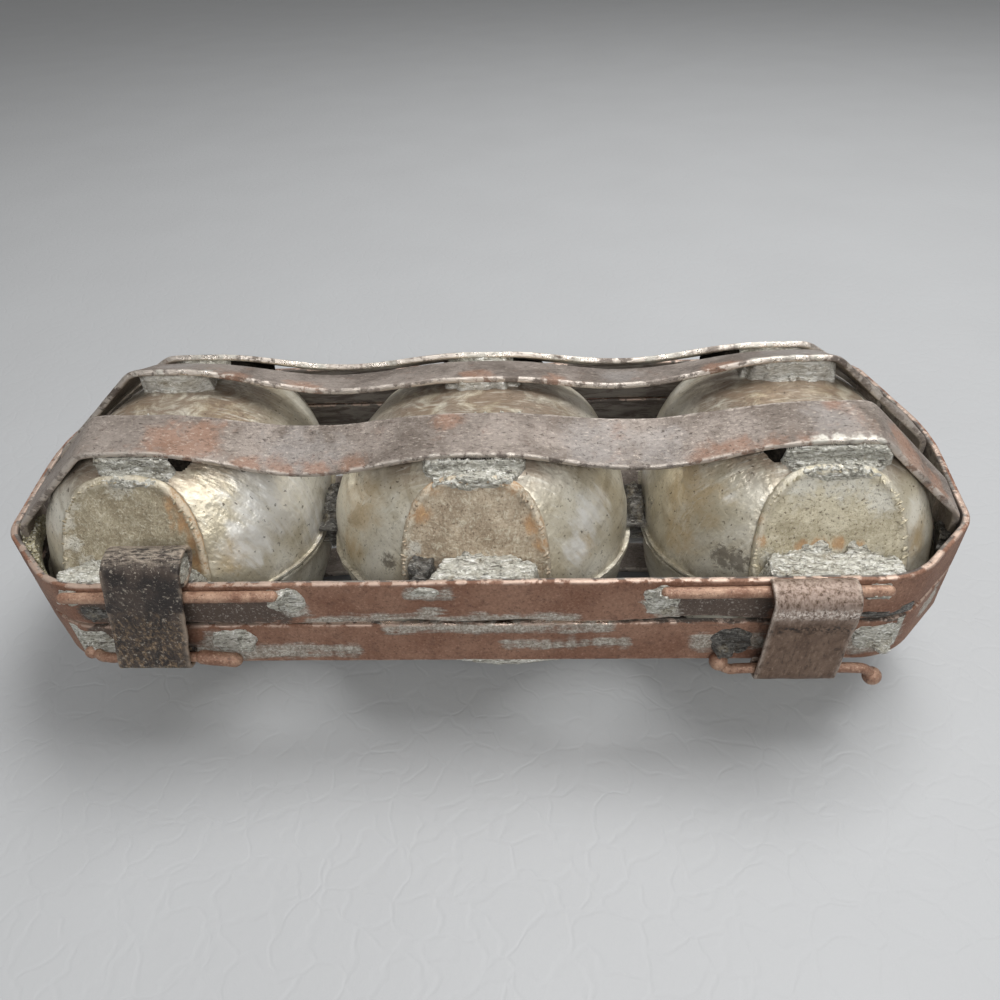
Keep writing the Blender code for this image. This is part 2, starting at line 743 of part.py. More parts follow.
def build_half(half, parent, materials):
    """The pieces that both halves have. In the lower half left and right change places."""
    turned = -1 if half == "lower" else 1
    for side, place in SIDES.items():
        own_side = place * turned
        x = own_side * SHELL_PITCH
        shell_name = f"{half}_shell_{side}"
        add_object(shell_name, shell_mesh(shell_name, own_side), materials["tin"], parent, (x, 0, 0))
        plate_name = f"{half}_end_plate_{side}"
        plate = plate_mesh(plate_name, shell_drop(own_side))
        add_object(plate_name, plate, materials["plate"], parent, (x, 0, 0))
        fillet_name = f"{half}_rail_solder_{side}"
        add_object(fillet_name, fillet_mesh(fillet_name), materials["solder"], parent, (x, 0, 0))
        for row, strap in STRAPS.items():
            level = half == "lower" and row == "middle"
            pad_name = f"{half}_solder_{row}_{side}"
            pad = pad_mesh(pad_name, strap, level, own_side)
            add_object(pad_name, pad, materials["solder"], parent, (x, 0, 0))
    for row, strap in STRAPS.items():
        level = half == "lower" and row == "middle"
        strap_name = f"{half}_strap_{row}"
        add_object(strap_name, strap_mesh(strap_name, strap, level), materials["iron"], parent)
    band_name = f"{half}_frame_band"
    add_object(band_name, band_mesh(band_name), materials["band"], parent)


def build_hinge(parent_lower, parent_upper, materials):
    third = HINGE_LENGTH * KNUCKLE_SHARE
    half = HINGE_LENGTH / 2
    inner = third / 2
    outer_knuckles = [(-half, -inner - KNUCKLE_CLEARANCE), (inner + KNUCKLE_CLEARANCE, half)]
    middle_knuckle = [(-inner, inner)]
    for side in ("left", "right"):
        x = SIDES[side] * HINGE_X
        place = (x, HINGE_Y, 0)
        leaf_object(f"hinge_leaf_lower_{side}", materials["hinge"], parent_lower, place, outer_knuckles, -1)
        leaf_object(f"hinge_leaf_upper_{side}", materials["hinge"], parent_upper, (x, 0, 0), middle_knuckle, 1)
        bm = bmesh.new()
        bmesh.ops.create_cone(bm, cap_ends=True, segments=16, radius1=PIN_RADIUS, radius2=PIN_RADIUS,
                              depth=HINGE_LENGTH + 2 * KNUCKLE_CLEARANCE)
        pin_name = f"hinge_pin_{side}"
        pin = add_object(pin_name, finish_mesh(pin_name, bm, 40), materials["hinge"], parent_lower, place)
        pin.rotation_euler = (0, math.pi / 2, 0)


def build_clips(parent_lower, parent_upper, materials):
    for side, clip in CLIPS.items():
        start, end = clip["catch"]
        catch_name = f"catch_wire_{side}"
        catch = wire_curve(catch_name, [(start, CATCH_Y, CATCH_Z), (end, CATCH_Y, CATCH_Z)], WIRE_RADIUS)
        add_object(catch_name, catch, materials["wire"], parent_upper, (0, -HINGE_Y, 0))
        pivot_name = f"pivot_wire_{side}"
        pivot = wire_curve(pivot_name, pivot_wire_points(clip), PIVOT_RADIUS)
        add_object(pivot_name, pivot, materials["wire"], parent_lower)
        clip_name = f"clip_{side}"
        place = (clip["centre_x"], PIVOT_Y, pivot_height(clip))
        add_object(clip_name, clip_mesh(clip_name, clip), materials[clip_name], parent_lower, place)


def build():
    clear_scene()
    materials = build_materials()
    parting = (0, -MOULD_MIDDLE_Y, rest_height())
    lower = add_empty("lower_half", parting)
    lower_turned = add_empty("lower_half_turned", (0, 0, 0), (0, math.pi, 0), lower)
    upper = add_empty("lid_hinge_axis", (0, HINGE_Y - MOULD_MIDDLE_Y, rest_height()))
    upper_pieces = add_empty("upper_half", (0, -HINGE_Y, 0), (0, 0, 0), upper)
    build_half("lower", lower_turned, materials)
    build_half("upper", upper_pieces, materials)
    build_hinge(lower, upper, materials)
    build_clips(lower, upper, materials)


build()
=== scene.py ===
"""Looks of an antique hinged chocolate mould: tinned half-shells in strapped iron frames.

Every piece is drawn once in a half frame, with y = 0 on the front rail's outer face, z = 0 on
the parting plane and z up out of the half. The upper half stands as drawn, and the lower half
is the same turned half a turn about Y. Lengths are metres.
"""
import json
import math

import bmesh
import bpy
from mathutils import Matrix, Vector, noise
from mathutils.bvhtree import BVHTree


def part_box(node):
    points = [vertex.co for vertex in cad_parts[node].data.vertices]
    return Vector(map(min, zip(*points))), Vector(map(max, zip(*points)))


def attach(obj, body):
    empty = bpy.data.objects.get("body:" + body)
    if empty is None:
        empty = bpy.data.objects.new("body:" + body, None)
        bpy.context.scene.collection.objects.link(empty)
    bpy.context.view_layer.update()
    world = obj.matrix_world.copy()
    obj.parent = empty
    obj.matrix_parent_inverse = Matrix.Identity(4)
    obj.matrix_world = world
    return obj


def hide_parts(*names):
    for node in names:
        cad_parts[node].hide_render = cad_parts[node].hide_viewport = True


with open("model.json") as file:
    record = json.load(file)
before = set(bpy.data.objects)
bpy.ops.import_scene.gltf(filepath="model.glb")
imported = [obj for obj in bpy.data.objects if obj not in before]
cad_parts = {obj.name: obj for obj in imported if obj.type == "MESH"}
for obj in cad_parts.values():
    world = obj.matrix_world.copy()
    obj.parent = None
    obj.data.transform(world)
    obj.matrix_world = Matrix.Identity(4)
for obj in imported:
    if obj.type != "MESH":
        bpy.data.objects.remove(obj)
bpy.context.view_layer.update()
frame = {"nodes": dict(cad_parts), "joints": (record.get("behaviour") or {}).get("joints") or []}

MM = 0.001

# The shared frame's places, read from the solids
BAND_LOW, BAND_HIGH = (Vector(corner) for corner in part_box("upper_frame_band"))
LOWER_BAND_HIGH = Vector(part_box("lower_frame_band")[1])
FRONT_Y = BAND_LOW.y
PARTING_Z = (BAND_LOW.z + LOWER_BAND_HIGH.z) / 2
HALF_GAP = BAND_LOW.z - PARTING_Z
BAND_TOP = BAND_HIGH.z - PARTING_Z
BAND_DEPTH = BAND_HIGH.y - BAND_LOW.y
PLATE_LOW, PLATE_HIGH = (Vector(corner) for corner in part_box("upper_end_plate_right"))
SHELL_PITCH = (PLATE_LOW.x + PLATE_HIGH.x) / 2
SWINGS = {joint["name"]: Vector(joint["pos_m"]) for joint in frame["joints"]}

# Stock, as in the solids
STRIP_THICKNESS = 1.6 * MM
SHEET = 0.8 * MM
CLIP_SHEET = 1.0 * MM
SEAT_GAP = 0.3 * MM
WIRE_RADIUS = 1.4 * MM
PIVOT_RADIUS = 1.2 * MM

# Shells
SHELL_HALF_WIDTH = 37.2 * MM
END_SHELL_OUTER_HALF_WIDTH = 32.2 * MM
SHELL_HEIGHT = 33.9 * MM
CENTER_SHELL_DROP = 1.0 * MM
SHELL_WIDEST_Y = 35.0 * MM
SHELL_END_Y = 93.6 * MM
SHELL_RIM = 0.9 * MM
RIM_THICKNESS = 0.6 * MM
INNER_FULLNESS = 2.5
OUTER_FULLNESS = 1.8
TAIL_FULLNESS = 2.2
TAIL_PLAN_FULLNESS = 2.2

# End plates
PLATE_FOOT_Y = 4.2 * MM
PLATE_LEAN = 0.43
PLATE_HALF_WIDTH = 16.6 * MM
PLATE_HEIGHT = 29.6 * MM
PLATE_OVERLAP = 0.9 * MM
PLATE_FULLNESS = 3.0

# Frame band, seen from above: corner x, corner y, bend radius
BAND_CORNERS = [
    (96.0 * MM, 0.0, 20.0 * MM),
    (114.8 * MM, 19.0 * MM, 12.0 * MM),
    (119.5 * MM, 55.0 * MM, 60.0 * MM),
    (110.6 * MM, BAND_DEPTH, 14.0 * MM),
]

# Where the front seam stands open: middle, reach and amount in millimetres
SEAM_GAPS = [(-70.0, 16.0, 0.8), (-14.0, 12.0, 0.7), (8.0, 9.0, 0.5), (51.0, 13.0, 1.7), (98.0, 9.0, 1.2)]
SEAM_DEPTH = 30 * MM
SEAM_SEED = 80

# How far the front rail runs straight on both sides of the middle
RAIL_STRAIGHT = 88.3 * MM

# Straps: crests are (over the center shell, over the outer shells) for the front and rear edges
STRAPS = {
    "front": {"front_y": 20.0, "run": 12.2, "bend_x": 90.0, "dips": (5.5, 3.2),
              "crests": ((33.14, 35.01), (36.38, 37.69))},
    "middle": {"front_y": 50.0, "run": 12.4, "bend_x": 88.0, "dips": (4.4, 3.8),
               "crests": ((35.34, 39.52), (33.13, 34.34))},
    "rear": {"front_y": 73.0, "run": 10.8, "bend_x": 89.0, "dips": (3.5, 3.5),
             "crests": ((30.10, 31.22), (23.35, 24.26))},
}
LEVEL_CREST = 37.69
STRAP_LAP = 8.0 * MM
STRAP_SHOULDER = 0.8 * MM
CREST_FLAT = 4.0 * MM

# Clips: the roll or hook at the top of each, its height over the rail, and its lean
FOLD_OUTER = PIVOT_RADIUS + 0.3 * MM + CLIP_SHEET
CATCH_Y = -(SEAT_GAP + WIRE_RADIUS)
CATCH_Z = BAND_TOP - 1.7 * MM
CATCH_STEPS = 14
CLIPS = {
    "left": {"width": 17.2 * MM, "lean": 4.7 * MM, "roll_radius": 4.6 * MM, "roll_rise": 5.6 * MM,
             "roll_y": 0.5 * MM, "roll_start": -130.0, "catch": (-91.8 * MM, -44.4 * MM)},
    "right": {"width": 18.2 * MM, "lean": 0.0, "roll_radius": 4.7 * MM, "roll_rise": -3.5 * MM,
              "roll_y": -1.9 * MM, "roll_start": 70.0, "catch": (42.0 * MM, 88.8 * MM)},
}

HALVES = {"upper": 1, "lower": -1}
SIDES = {"left": -1, "center": 0, "right": 1}
BODY = {"upper": "upper_half", "lower": "lower_half"}


def row_of(start, end, step, y, z, reach):
    """Spots in a row along X, in millimetres."""
    count = int((end - start) / step) + 1
    return [(start + step * index, y, z, reach) for index in range(count)]


# Marks of age, painted highlights and painted shade on single pieces: x, y, z and reach, in
# millimetres of the half frame
SPOTS = {
    "upper_strap_front": {
        "rust": [(-68, 23, 35, 12), (-63, 26, 35, 9), (-6, 31, 35, 6), (81, 32, 36, 5), (97, 25, 28, 11),
                 (104, 24, 20, 9)] + row_of(52, 74, 7, 20, 32, 7) + row_of(-52, -28, 8, 20, 30, 6),
        "blue": [(-41, 24, 30, 13), (-34, 25, 29, 9), (28, 26, 31, 13), (42, 25, 29, 10), (79, 27, 36, 10)],
        "pale": row_of(76, 88, 4, 20, 35, 3.4) + row_of(-9, 9, 4.5, 19.6, 33, 1.7),
    },
    "upper_strap_middle": {
        "rust": [(-45, 50, 33, 8), (0, 51, 35, 7), (-62, 50, 37, 7), (60, 51, 37, 7), (20, 50, 34, 6)],
        "blue": [(80, 57, 37, 13), (36, 56, 32, 9), (-78, 58, 37, 10)],
        "pale": row_of(68, 86, 5, 50, 39, 3.2) + row_of(-86, -60, 6, 50, 38, 2.2),
    },
    "upper_strap_rear": {
        "pale": [(-75, 75, 29, 15), (-52, 76, 27, 13), (-28, 77, 27, 12), (0, 76, 29, 16), (24, 78, 27, 13),
                 (52, 76, 27, 13), (78, 75, 29, 17)],
    },
    # On the shells, bright spots are painted highlights; dark rows under the straps are painted shade.
    "upper_shell_left": {
        "gold": [(-64, 42, 34, 13), (-86, 42, 34, 10), (-58, 14, 10, 7), (-97, 18, 12, 8)],
        "bright": [(-50, 22, 20, 12), (-46, 27, 14, 12), (-54, 16, 12, 9), (-44, 30, 6, 10)],
        "grime_and_shade": [(-62, 21, 31, 4), (-100, 24, 20, 7)] + row_of(-64, -50, 3.5, 26, 30, 5),
    },
    "upper_shell_center": {
        "gold": [(-27, 22, 18, 11), (-31, 18, 8, 7), (2, 43, 34, 12), (-14, 40, 33, 8), (24, 17, 9, 6)],
        "bright": [(27, 19, 17, 8), (24, 14, 10, 6)],
        "grime_and_shade": [(-31, 24, 3, 6), (-21, 11, 9, 4)] + row_of(-30, -16, 3.5, 27, 29, 5.5)
        + row_of(16, 30, 3.5, 27, 29, 5.5),
    },
    "upper_shell_right": {
        "gold": [(52, 24, 18, 12), (57, 30, 25, 9), (70, 44, 34, 14), (84, 44, 34, 10), (48, 20, 8, 8),
                 (101, 14, 12, 7)],
        "bright": [(60, 22, 20, 6)],
        "grime_and_shade": [(60, 10, 9, 5), (57, 13, 8, 5), (46, 34, 8, 6)] + row_of(48, 63, 3.5, 27, 30, 5.5),
    },
    "upper_end_plate_left": {
        "rust": [(-65, 13, 21, 6.5), (-64, 11, 16, 6), (-67, 15, 26, 5.5), (-64, 9, 12, 4.5)],
        "pale": [(-94, 11, 16, 3.5), (-94, 13, 21, 3.5), (-93, 15, 25, 3.5), (-91, 9, 11, 4),
                 (-80, 17, 29, 5)],
    },
    "upper_end_plate_center": {
        "rust": [(-13, 13, 23, 5), (-9, 16, 28, 4), (9, 16, 28, 4.5), (14, 12, 19, 4), (15, 10, 15, 3)],
        "pale": [(-14, 10, 14, 3), (0, 17, 29, 4), (5, 8, 10, 5)],
        "grime_and_shade": [(-15, 8, 10, 5), (-9, 8, 9, 4)],
    },
    "upper_end_plate_right": {
        "rust": [(77, 10, 14, 3.6), (81, 10, 14.5, 2.6), (73, 10, 14, 2.6), (63.5, 10, 15, 2.6),
                 (63, 12, 20, 2.4), (86, 10, 14, 2)],
        "pale": [(82, 17, 29, 10), (72, 16, 27, 7), (90, 14, 24, 6)] + row_of(66, 92, 4, 8, 11, 4),
    },
    "upper_frame_band": {
        "grime_and_shade": row_of(-88, -44, 4, 0, 4.5, 5.5) + row_of(46, 64, 4, 0, 4.5, 6),
        "pale": [(-43, 0, 8, 5), (-41, 0, 5, 5), (40, 0, 6, 5), (43, 0, 3, 5), (-10, 0, 2, 6)]
        + row_of(-38, 24, 2.5, 0, 1.2, 3.6) + row_of(-14, -6, 4, 0, 10, 3),
    },
    # The lower band's close rows of dark marks along the seam are painted shade in the open seam.
    "lower_frame_band": {
        "pale": [(62, 0, 5, 5), (58, 0, 8, 5), (68, 0, 9, 4), (90, 0, 8, 5)] + row_of(-64, -52, 4, 0, 7, 5)
        + row_of(-96, -86, 4, 0, 7, 6) + row_of(-30, 22, 2.5, 0, 1.2, 3.4) + row_of(-108, -100, 4, 12, 6, 6)
        + row_of(-34, -6, 3, 0, 7, 3) + row_of(30, 70, 3, 0, 9, 4),
        "grime_and_shade": row_of(72, 88, 4, 0, 4, 5) + row_of(-74, -32, 1.2, 1.4, 0.2, 1.9)
        + row_of(-104, -86, 1.2, 1.6, 0.2, 1.8) + row_of(-30, 88, 1.2, 1.5, 0.2, 1.3),
    },
}


def blend(start, end, share):
    return start + (end - start) * share


def smooth_step(low, high, value):
    share = min(1.0, max(0.0, (value - low) / (high - low)))
    return share * share * (3.0 - 2.0 * share)


def to_world(point, half):
    """A half-frame point in the shared frame."""
    turn = HALVES[half]
    return Vector((point.x * turn, point.y + FRONT_Y, PARTING_Z + point.z * turn))


def to_half(point, half):
    """A shared-frame point in its half frame."""
    turn = HALVES[half]
    return Vector((point.x * turn, point.y - FRONT_Y, (point.z - PARTING_Z) * turn))


def wobble(point, size, seed):
    """Smooth noise from -1 to 1 whose bumps are about the given size across."""
    return noise.noise(point / size + Vector((seed * 7.31, seed * 3.17, seed * 5.53)))


# Node trees

class Value:
    """A node's output on which Python's operators add Math nodes."""

    def __init__(self, tree, socket):
        self.tree = tree
        self.socket = socket

    def math(self, operation, first, second=None, clamp=False):
        sources = {0: first} if second is None else {0: first, 1: second}
        return self.tree.add("ShaderNodeMath", {"operation": operation, "use_clamp": clamp}, sources)

    def __add__(self, other):
        return self.math("ADD", self, other)

    def __sub__(self, other):
        return self.math("SUBTRACT", self, other)

    def __rsub__(self, other):
        return self.math("SUBTRACT", other, self)

    def __mul__(self, other):
        return self.math("MULTIPLY", self, other)

    __radd__ = __add__
    __rmul__ = __mul__

    def clamped(self):
        return self.math("ADD", self, 0.0, clamp=True)

    def above(self, low, high):
        """0 below low, 1 above high and smooth between."""
        inputs = {"Value": self, "From Min": low, "From Max": high}
        return self.tree.add("ShaderNodeMapRange", {"interpolation_type": "SMOOTHSTEP"}, inputs)

    def near(self, centre, reach):
        """1 at the centre value, falling to 0 at the reach."""
        return 1.0 - self.math("ABSOLUTE", self - centre).above(0.0, reach)


class Nodes:
    """A node tree that grows by one call for each node."""

    def __init__(self, tree):
        self.tree = tree

    def add(self, kind, settings, inputs, output=0):
        """Adds a node of a kind and returns one of its outputs."""
        node = self.tree.nodes.new(kind)
        for name, setting in settings.items():
            setattr(node, name, setting)
        for name, source in inputs.items():
            self.feed(node.inputs[name], source)
        return Value(self, node.outputs[output])

    def feed(self, socket, source):
        if isinstance(source, Value):
            self.tree.links.new(source.socket, socket)
        elif isinstance(source, (tuple, list)) and len(source) == 3 and socket.type == "RGBA":
            socket.default_value = (*source, 1.0)
        else:
            socket.default_value = source


class Finish(Nodes):
    """A procedural material."""

    def __init__(self, name):
        self.material = bpy.data.materials.new(name)
        self.material.use_nodes = True
        super().__init__(self.material.node_tree)
        self.shader = self.tree.nodes["Principled BSDF"]
        self.place = self.add("ShaderNodeTexCoord", {}, {}, "Object")
        self.normal = None

    def moved(self, stretch=(1, 1, 1), shift=(0, 0, 0)):
        """Object coordinates squeezed by stretch and shifted."""
        return self.add("ShaderNodeMapping", {}, {"Vector": self.place, "Scale": stretch, "Location": shift})

    def noise(self, size, detail=4.0, roughness=0.55, stretch=(1, 1, 1), shift=(0, 0, 0), twist=0.0):
        """Noise from 0 to 1 whose patches are about size metres across."""
        inputs = {"Vector": self.moved(stretch, shift), "Scale": 1.0 / size, "Detail": detail,
                  "Roughness": roughness, "Distortion": twist}
        return self.add("ShaderNodeTexNoise", {}, inputs, "Fac")

    def streaks(self, size, along, around, shift=0.0, detail=4.0):
        """Noise drawn out along a formed sheet, by its own run and girth."""
        run = self.attribute("along") * along + shift
        girth = self.attribute("around") * around
        where = self.add("ShaderNodeCombineXYZ", {}, {"X": run, "Y": girth})
        inputs = {"Vector": where, "Scale": 1.0 / size, "Detail": detail,
                  "Roughness": 0.62, "Distortion": 0.35}
        return self.add("ShaderNodeTexNoise", {}, inputs, "Fac")

    def cells(self, size, feature="F1", stretch=(1, 1, 1), shift=(0, 0, 0), twist=None):
        """Distance in a pattern of cells about size metres across."""
        where = self.moved(stretch, shift)
        if twist is not None:
            where = self.add("ShaderNodeVectorMath", {"operation": "ADD"}, {0: where, 1: twist})
        inputs = {"Vector": where, "Scale": 1.0 / size}
        return self.add("ShaderNodeTexVoronoi", {"feature": feature}, inputs, "Distance")

    def bend(self, size, amount):
        """A vector wobble that bends other patterns."""
        inputs = {"Vector": self.place, "Scale": 1.0 / size, "Detail": 2.0}
        colour = self.add("ShaderNodeTexNoise", {}, inputs, "Color")
        middle = self.add("ShaderNodeVectorMath", {"operation": "SUBTRACT"}, {0: colour, 1: (0.5, 0.5, 0.5)})
        return self.add("ShaderNodeVectorMath", {"operation": "SCALE"}, {0: middle, "Scale": amount * size})

    def attribute(self, name):
        return self.add("ShaderNodeAttribute", {"attribute_name": name}, {}, "Fac")

    def mark(self, name, pattern, low=0.3, high=0.95):
        """Where a mark of age, a painted highlight or painted shade shows: its painted strength,
        broken up by a pattern.
        """
        strength = self.attribute(name)
        return (strength + (pattern - 0.5) * 2.4).above(low, high) * strength.above(0.0, 0.4)

    def axis(self, letter):
        """One of the object coordinates, in metres."""
        return self.add("ShaderNodeSeparateXYZ", {}, {"Vector": self.place}, letter)

    def mix(self, share, first, second):
        """A colour between two colours."""
        settings = {"data_type": "RGBA", "clamp_factor": True}
        return self.add("ShaderNodeMix", settings, {0: share, 6: first, 7: second}, 2)

    def base(self, share, first, second):
        """Starts with a colour between two colours."""
        self.colour = self.mix(share, first, second)

    def coat(self, share, colour):
        """Lays a colour over what is there, by its share."""
        self.colour = self.mix(share, self.colour, colour)

    def relief(self, height, distance):
        """Adds bumps to those that are there."""
        inputs = {"Height": height, "Distance": distance}
        if self.normal:
            inputs["Normal"] = self.normal
        self.normal = self.add("ShaderNodeBump", {}, inputs, "Normal")

    def done(self, roughness, metallic, gloss=0.5):
        self.shader.inputs["Specular IOR Level"].default_value = gloss
        self.feed(self.shader.inputs["Base Color"], self.colour)
        self.feed(self.shader.inputs["Roughness"], roughness)
        self.feed(self.shader.inputs["Metallic"], metallic)
        self.feed(self.shader.inputs["Normal"], self.normal)
        return self.material


class Shaping(Nodes):
    """A geometry tree that takes geometry, named sizes and a material."""

    def __init__(self, name, sizes):
        super().__init__(bpy.data.node_groups.new(name, "GeometryNodeTree"))
        for label, kind in {"Geometry": "Geometry", **sizes, "Material": "Material"}.items():
            self.tree.interface.new_socket(label, in_out="INPUT", socket_type=f"NodeSocket{kind}")
        self.tree.interface.new_socket("Geometry", in_out="OUTPUT", socket_type="NodeSocketGeometry")
        self.inputs = self.tree.nodes.new("NodeGroupInput")

    def given(self, name):
        return Value(self, self.inputs.outputs[name])

    def real(self, geometry):
        """The geometry with its instances made plain meshes."""
        return self.add("GeometryNodeRealizeInstances", {}, {"Geometry": geometry})

    def joined(self, first, second):
        both = self.add("GeometryNodeJoinGeometry", {}, {"Geometry": first})
        self.feed(both.socket.node.inputs["Geometry"], second)
        return both

    def drawn(self, low, high):
        """A vector drawn anew for each instance."""
        inputs = {0: low, 1: high, "Seed": self.given("Seed")}
        return self.add("FunctionNodeRandomValue", {"data_type": "FLOAT_VECTOR"}, inputs)

    def turned(self, rotation, low, high):
        """A rotation with a turn drawn anew for each instance."""
        turn = self.add("FunctionNodeEulerToRotation", {}, {"Euler": self.drawn(low, high)})
        return self.add("FunctionNodeRotateRotation", {"rotation_space": "LOCAL"}, {0: rotation, 1: turn})

    def scattered(self, points, radius, rotation, low, high, chosen=True):
        """Chips on points, each a ball stretched by a scale drawn between low and high."""
        chip = self.add("GeometryNodeMeshIcoSphere", {}, {"Radius": radius, "Subdivisions": 2})
        inputs = {"Points": points, "Selection": chosen, "Instance": chip, "Rotation": rotation,
                  "Scale": self.drawn(low, high)}
        return self.real(self.add("GeometryNodeInstanceOnPoints", {}, inputs))

    def rough(self, geometry, size, amount, seed):
        """Moves every point along its normal by smooth noise."""
        place = self.add("GeometryNodeInputPosition", {}, {})
        inputs = {"Vector": place, "W": seed, "Scale": 1.0 / size, "Detail": 3.0}
        field = self.add("ShaderNodeTexNoise", {"noise_dimensions": "4D"}, inputs, "Fac")
        normal = self.add("GeometryNodeInputNormal", {}, {})
        reach = (field - 0.5) * amount
        offset = self.add("ShaderNodeVectorMath", {"operation": "SCALE"}, {0: normal, "Scale": reach})
        return self.add("GeometryNodeSetPosition", {}, {"Geometry": geometry, "Offset": offset})

    def end(self, geometry):
        """Makes instances real, gives the material and closes the tree."""
        inputs = {"Geometry": self.real(geometry), "Material": self.given("Material")}
        made = self.add("GeometryNodeSetMaterial", {}, inputs)
        outlet = self.tree.nodes.new("NodeGroupOutput")
        self.feed(outlet.inputs["Geometry"], made)
        return self


def wire_shaping():
    """A round worn wire along a line of points, with a bead at each end."""
    shaping = Shaping("worn_wire", {"Radius": "Float", "Bead": "Float", "Wear": "Float", "Seed": "Float"})
    line = shaping.add("GeometryNodeMeshToCurve", {}, {"Mesh": shaping.given("Geometry")})
    fine = shaping.add("GeometryNodeResampleCurve", {"mode": "LENGTH"}, {"Curve": line, "Length": 0.45 * MM})
    circle = {"Resolution": 22, "Radius": shaping.given("Radius")}
    ring = shaping.add("GeometryNodeCurvePrimitiveCircle", {}, circle)
    sweep = {"Curve": fine, "Profile Curve": ring, "Fill Caps": True}
    tube = shaping.add("GeometryNodeCurveToMesh", {}, sweep)
    ends = shaping.add("GeometryNodeCurveEndpointSelection", {}, {"Start Size": 1, "End Size": 1})
    ball = shaping.add("GeometryNodeMeshIcoSphere", {}, {"Radius": shaping.given("Bead"), "Subdivisions": 4})
    placed = {"Points": fine, "Selection": ends, "Instance": ball}
    beads = shaping.add("GeometryNodeInstanceOnPoints", {}, placed)
    whole = shaping.real(shaping.joined(tube, beads))
    return shaping.end(shaping.rough(whole, 1.6 * MM, shaping.given("Wear"), shaping.given("Seed")))


def flake_shaping():
    """Flakes of lifted solder scattered where a crust is marked flaky."""
    shaping = Shaping("solder_flakes", {"Size": "Float", "Density": "Float", "Seed": "Int"})
    crust = shaping.given("Geometry")
    flaky = shaping.add("GeometryNodeInputNamedAttribute", {"data_type": "FLOAT"}, {"Name": "flaky"})
    test = {"data_type": "FLOAT", "operation": "GREATER_THAN"}
    chosen = shaping.add("FunctionNodeCompare", test, {0: flaky, 1: 0.5})
    scatter = {"Mesh": crust, "Selection": chosen, "Density": shaping.given("Density"),
               "Seed": shaping.given("Seed")}
    points = shaping.add("GeometryNodeDistributePointsOnFaces", {}, scatter)
    facing = Value(shaping, points.socket.node.outputs["Rotation"])
    laid = shaping.turned(facing, (-0.35, -0.35, -3.0), (0.35, 0.35, 3.0))
    flakes = shaping.scattered(points, shaping.given("Size"), laid, (0.5, 0.3, 0.16), (1.7, 0.9, 0.5))
    return shaping.end(shaping.joined(crust, shaping.rough(flakes, 0.8 * MM, 0.45 * MM, 3.0)))


def crimp_shaping():
    """Short notches bitten side by side along a plate's border."""
    shaping = Shaping("border_crimps", {"Length": "Float", "Spacing": "Float", "Seed": "Int"})
    line = shaping.add("GeometryNodeMeshToCurve", {}, {"Mesh": shaping.given("Geometry")})
    spacing = {"Curve": line, "Length": shaping.given("Spacing")}
    spaced = shaping.add("GeometryNodeResampleCurve", {"mode": "LENGTH"}, spacing)
    tangent = shaping.add("GeometryNodeInputTangent", {}, {})
    along = shaping.add("FunctionNodeAlignRotationToVector", {"axis": "Y"}, {"Vector": tangent})
    laid = shaping.turned(along, (-0.3, -0.6, -0.6), (0.3, 0.6, 0.6))
    share = {"Probability": 0.55, "Seed": shaping.given("Seed")}
    kept = shaping.add("FunctionNodeRandomValue", {"data_type": "BOOLEAN"}, share, 3)
    teeth = shaping.scattered(spaced, shaping.given("Length"), laid, (0.3, 0.2, 0.16), (1.3, 0.6, 0.42), kept)
    return shaping.end(shaping.rough(teeth, 0.9 * MM, 0.25 * MM, 1.0))


def band_rust(name):
    """Matt red-brown rust with fine grain, solder smears, dirt under the wires and rubbed edges, with
    painted shade in the open seam and on the tinned inner face.
    """
    finish = Finish(name)
    broad = finish.noise(16 * MM, 4.0, 0.6)
    grain = finish.noise(0.55 * MM, 4.0, 0.75)
    coarse = finish.noise(1.6 * MM, 4.0, 0.7, shift=(0.2, 0.5, 0.1))
    patch = finish.noise(3.0 * MM, 6.0, 0.7, stretch=(0.3, 1.0, 1.6), twist=0.6)
    finish.base(broad.above(0.35, 0.65), (0.175, 0.085, 0.053), (0.25, 0.14, 0.094))
    finish.coat(coarse.above(0.52, 0.66) * 0.5, (0.13, 0.07, 0.048))
    finish.coat(grain.above(0.54, 0.68) * 0.6, (0.37, 0.235, 0.17))
    finish.coat(grain.above(0.46, 0.34) * 0.7, (0.06, 0.03, 0.02))
    # The inner face is tinned grey, painted darker as shade inside the frame.
    inner = finish.attribute("inner").above(0.3, 0.8)
    tinned = finish.mix(patch.above(0.4, 0.6), (0.075, 0.068, 0.062), (0.20, 0.188, 0.168))
    finish.coat(inner * 0.9, tinned)
    # Dark marks: dirt under the wires, and painted shade in the open seam.
    grime_and_shade = finish.mark("grime_and_shade", patch, 0.2, 0.6)
    finish.coat(grime_and_shade * 0.85, (0.06, 0.05, 0.042))
    finish.coat(grime_and_shade * grain.above(0.56, 0.64) * 0.7, (0.36, 0.33, 0.29))
    pale = finish.mark("pale", patch)
    finish.coat(pale * 0.8, (0.40, 0.37, 0.315))
    finish.coat(pale * grain.above(0.5, 0.6) * 0.7, (0.68, 0.65, 0.59))
    finish.coat(pale * grain.above(0.46, 0.36) * 0.7, (0.10, 0.075, 0.055))
    wear = finish.noise(4 * MM, 4.0, 0.65).above(0.4, 0.56)
    rubbed = (finish.attribute("edge") * wear).above(0.25, 1.0)
    finish.coat(rubbed * 0.75, (0.60, 0.46, 0.375))
    finish.relief(grain, 0.10 * MM)
    finish.relief(coarse, 0.18 * MM)
    finish.relief(pale * patch, 0.35 * MM)
    roughness = 0.68 - rubbed * 0.25 - pale * 0.2
    metallic = (rubbed * 0.6 + pale * 0.5 + 0.05).clamped()
    return finish.done(roughness, metallic, 0.3)


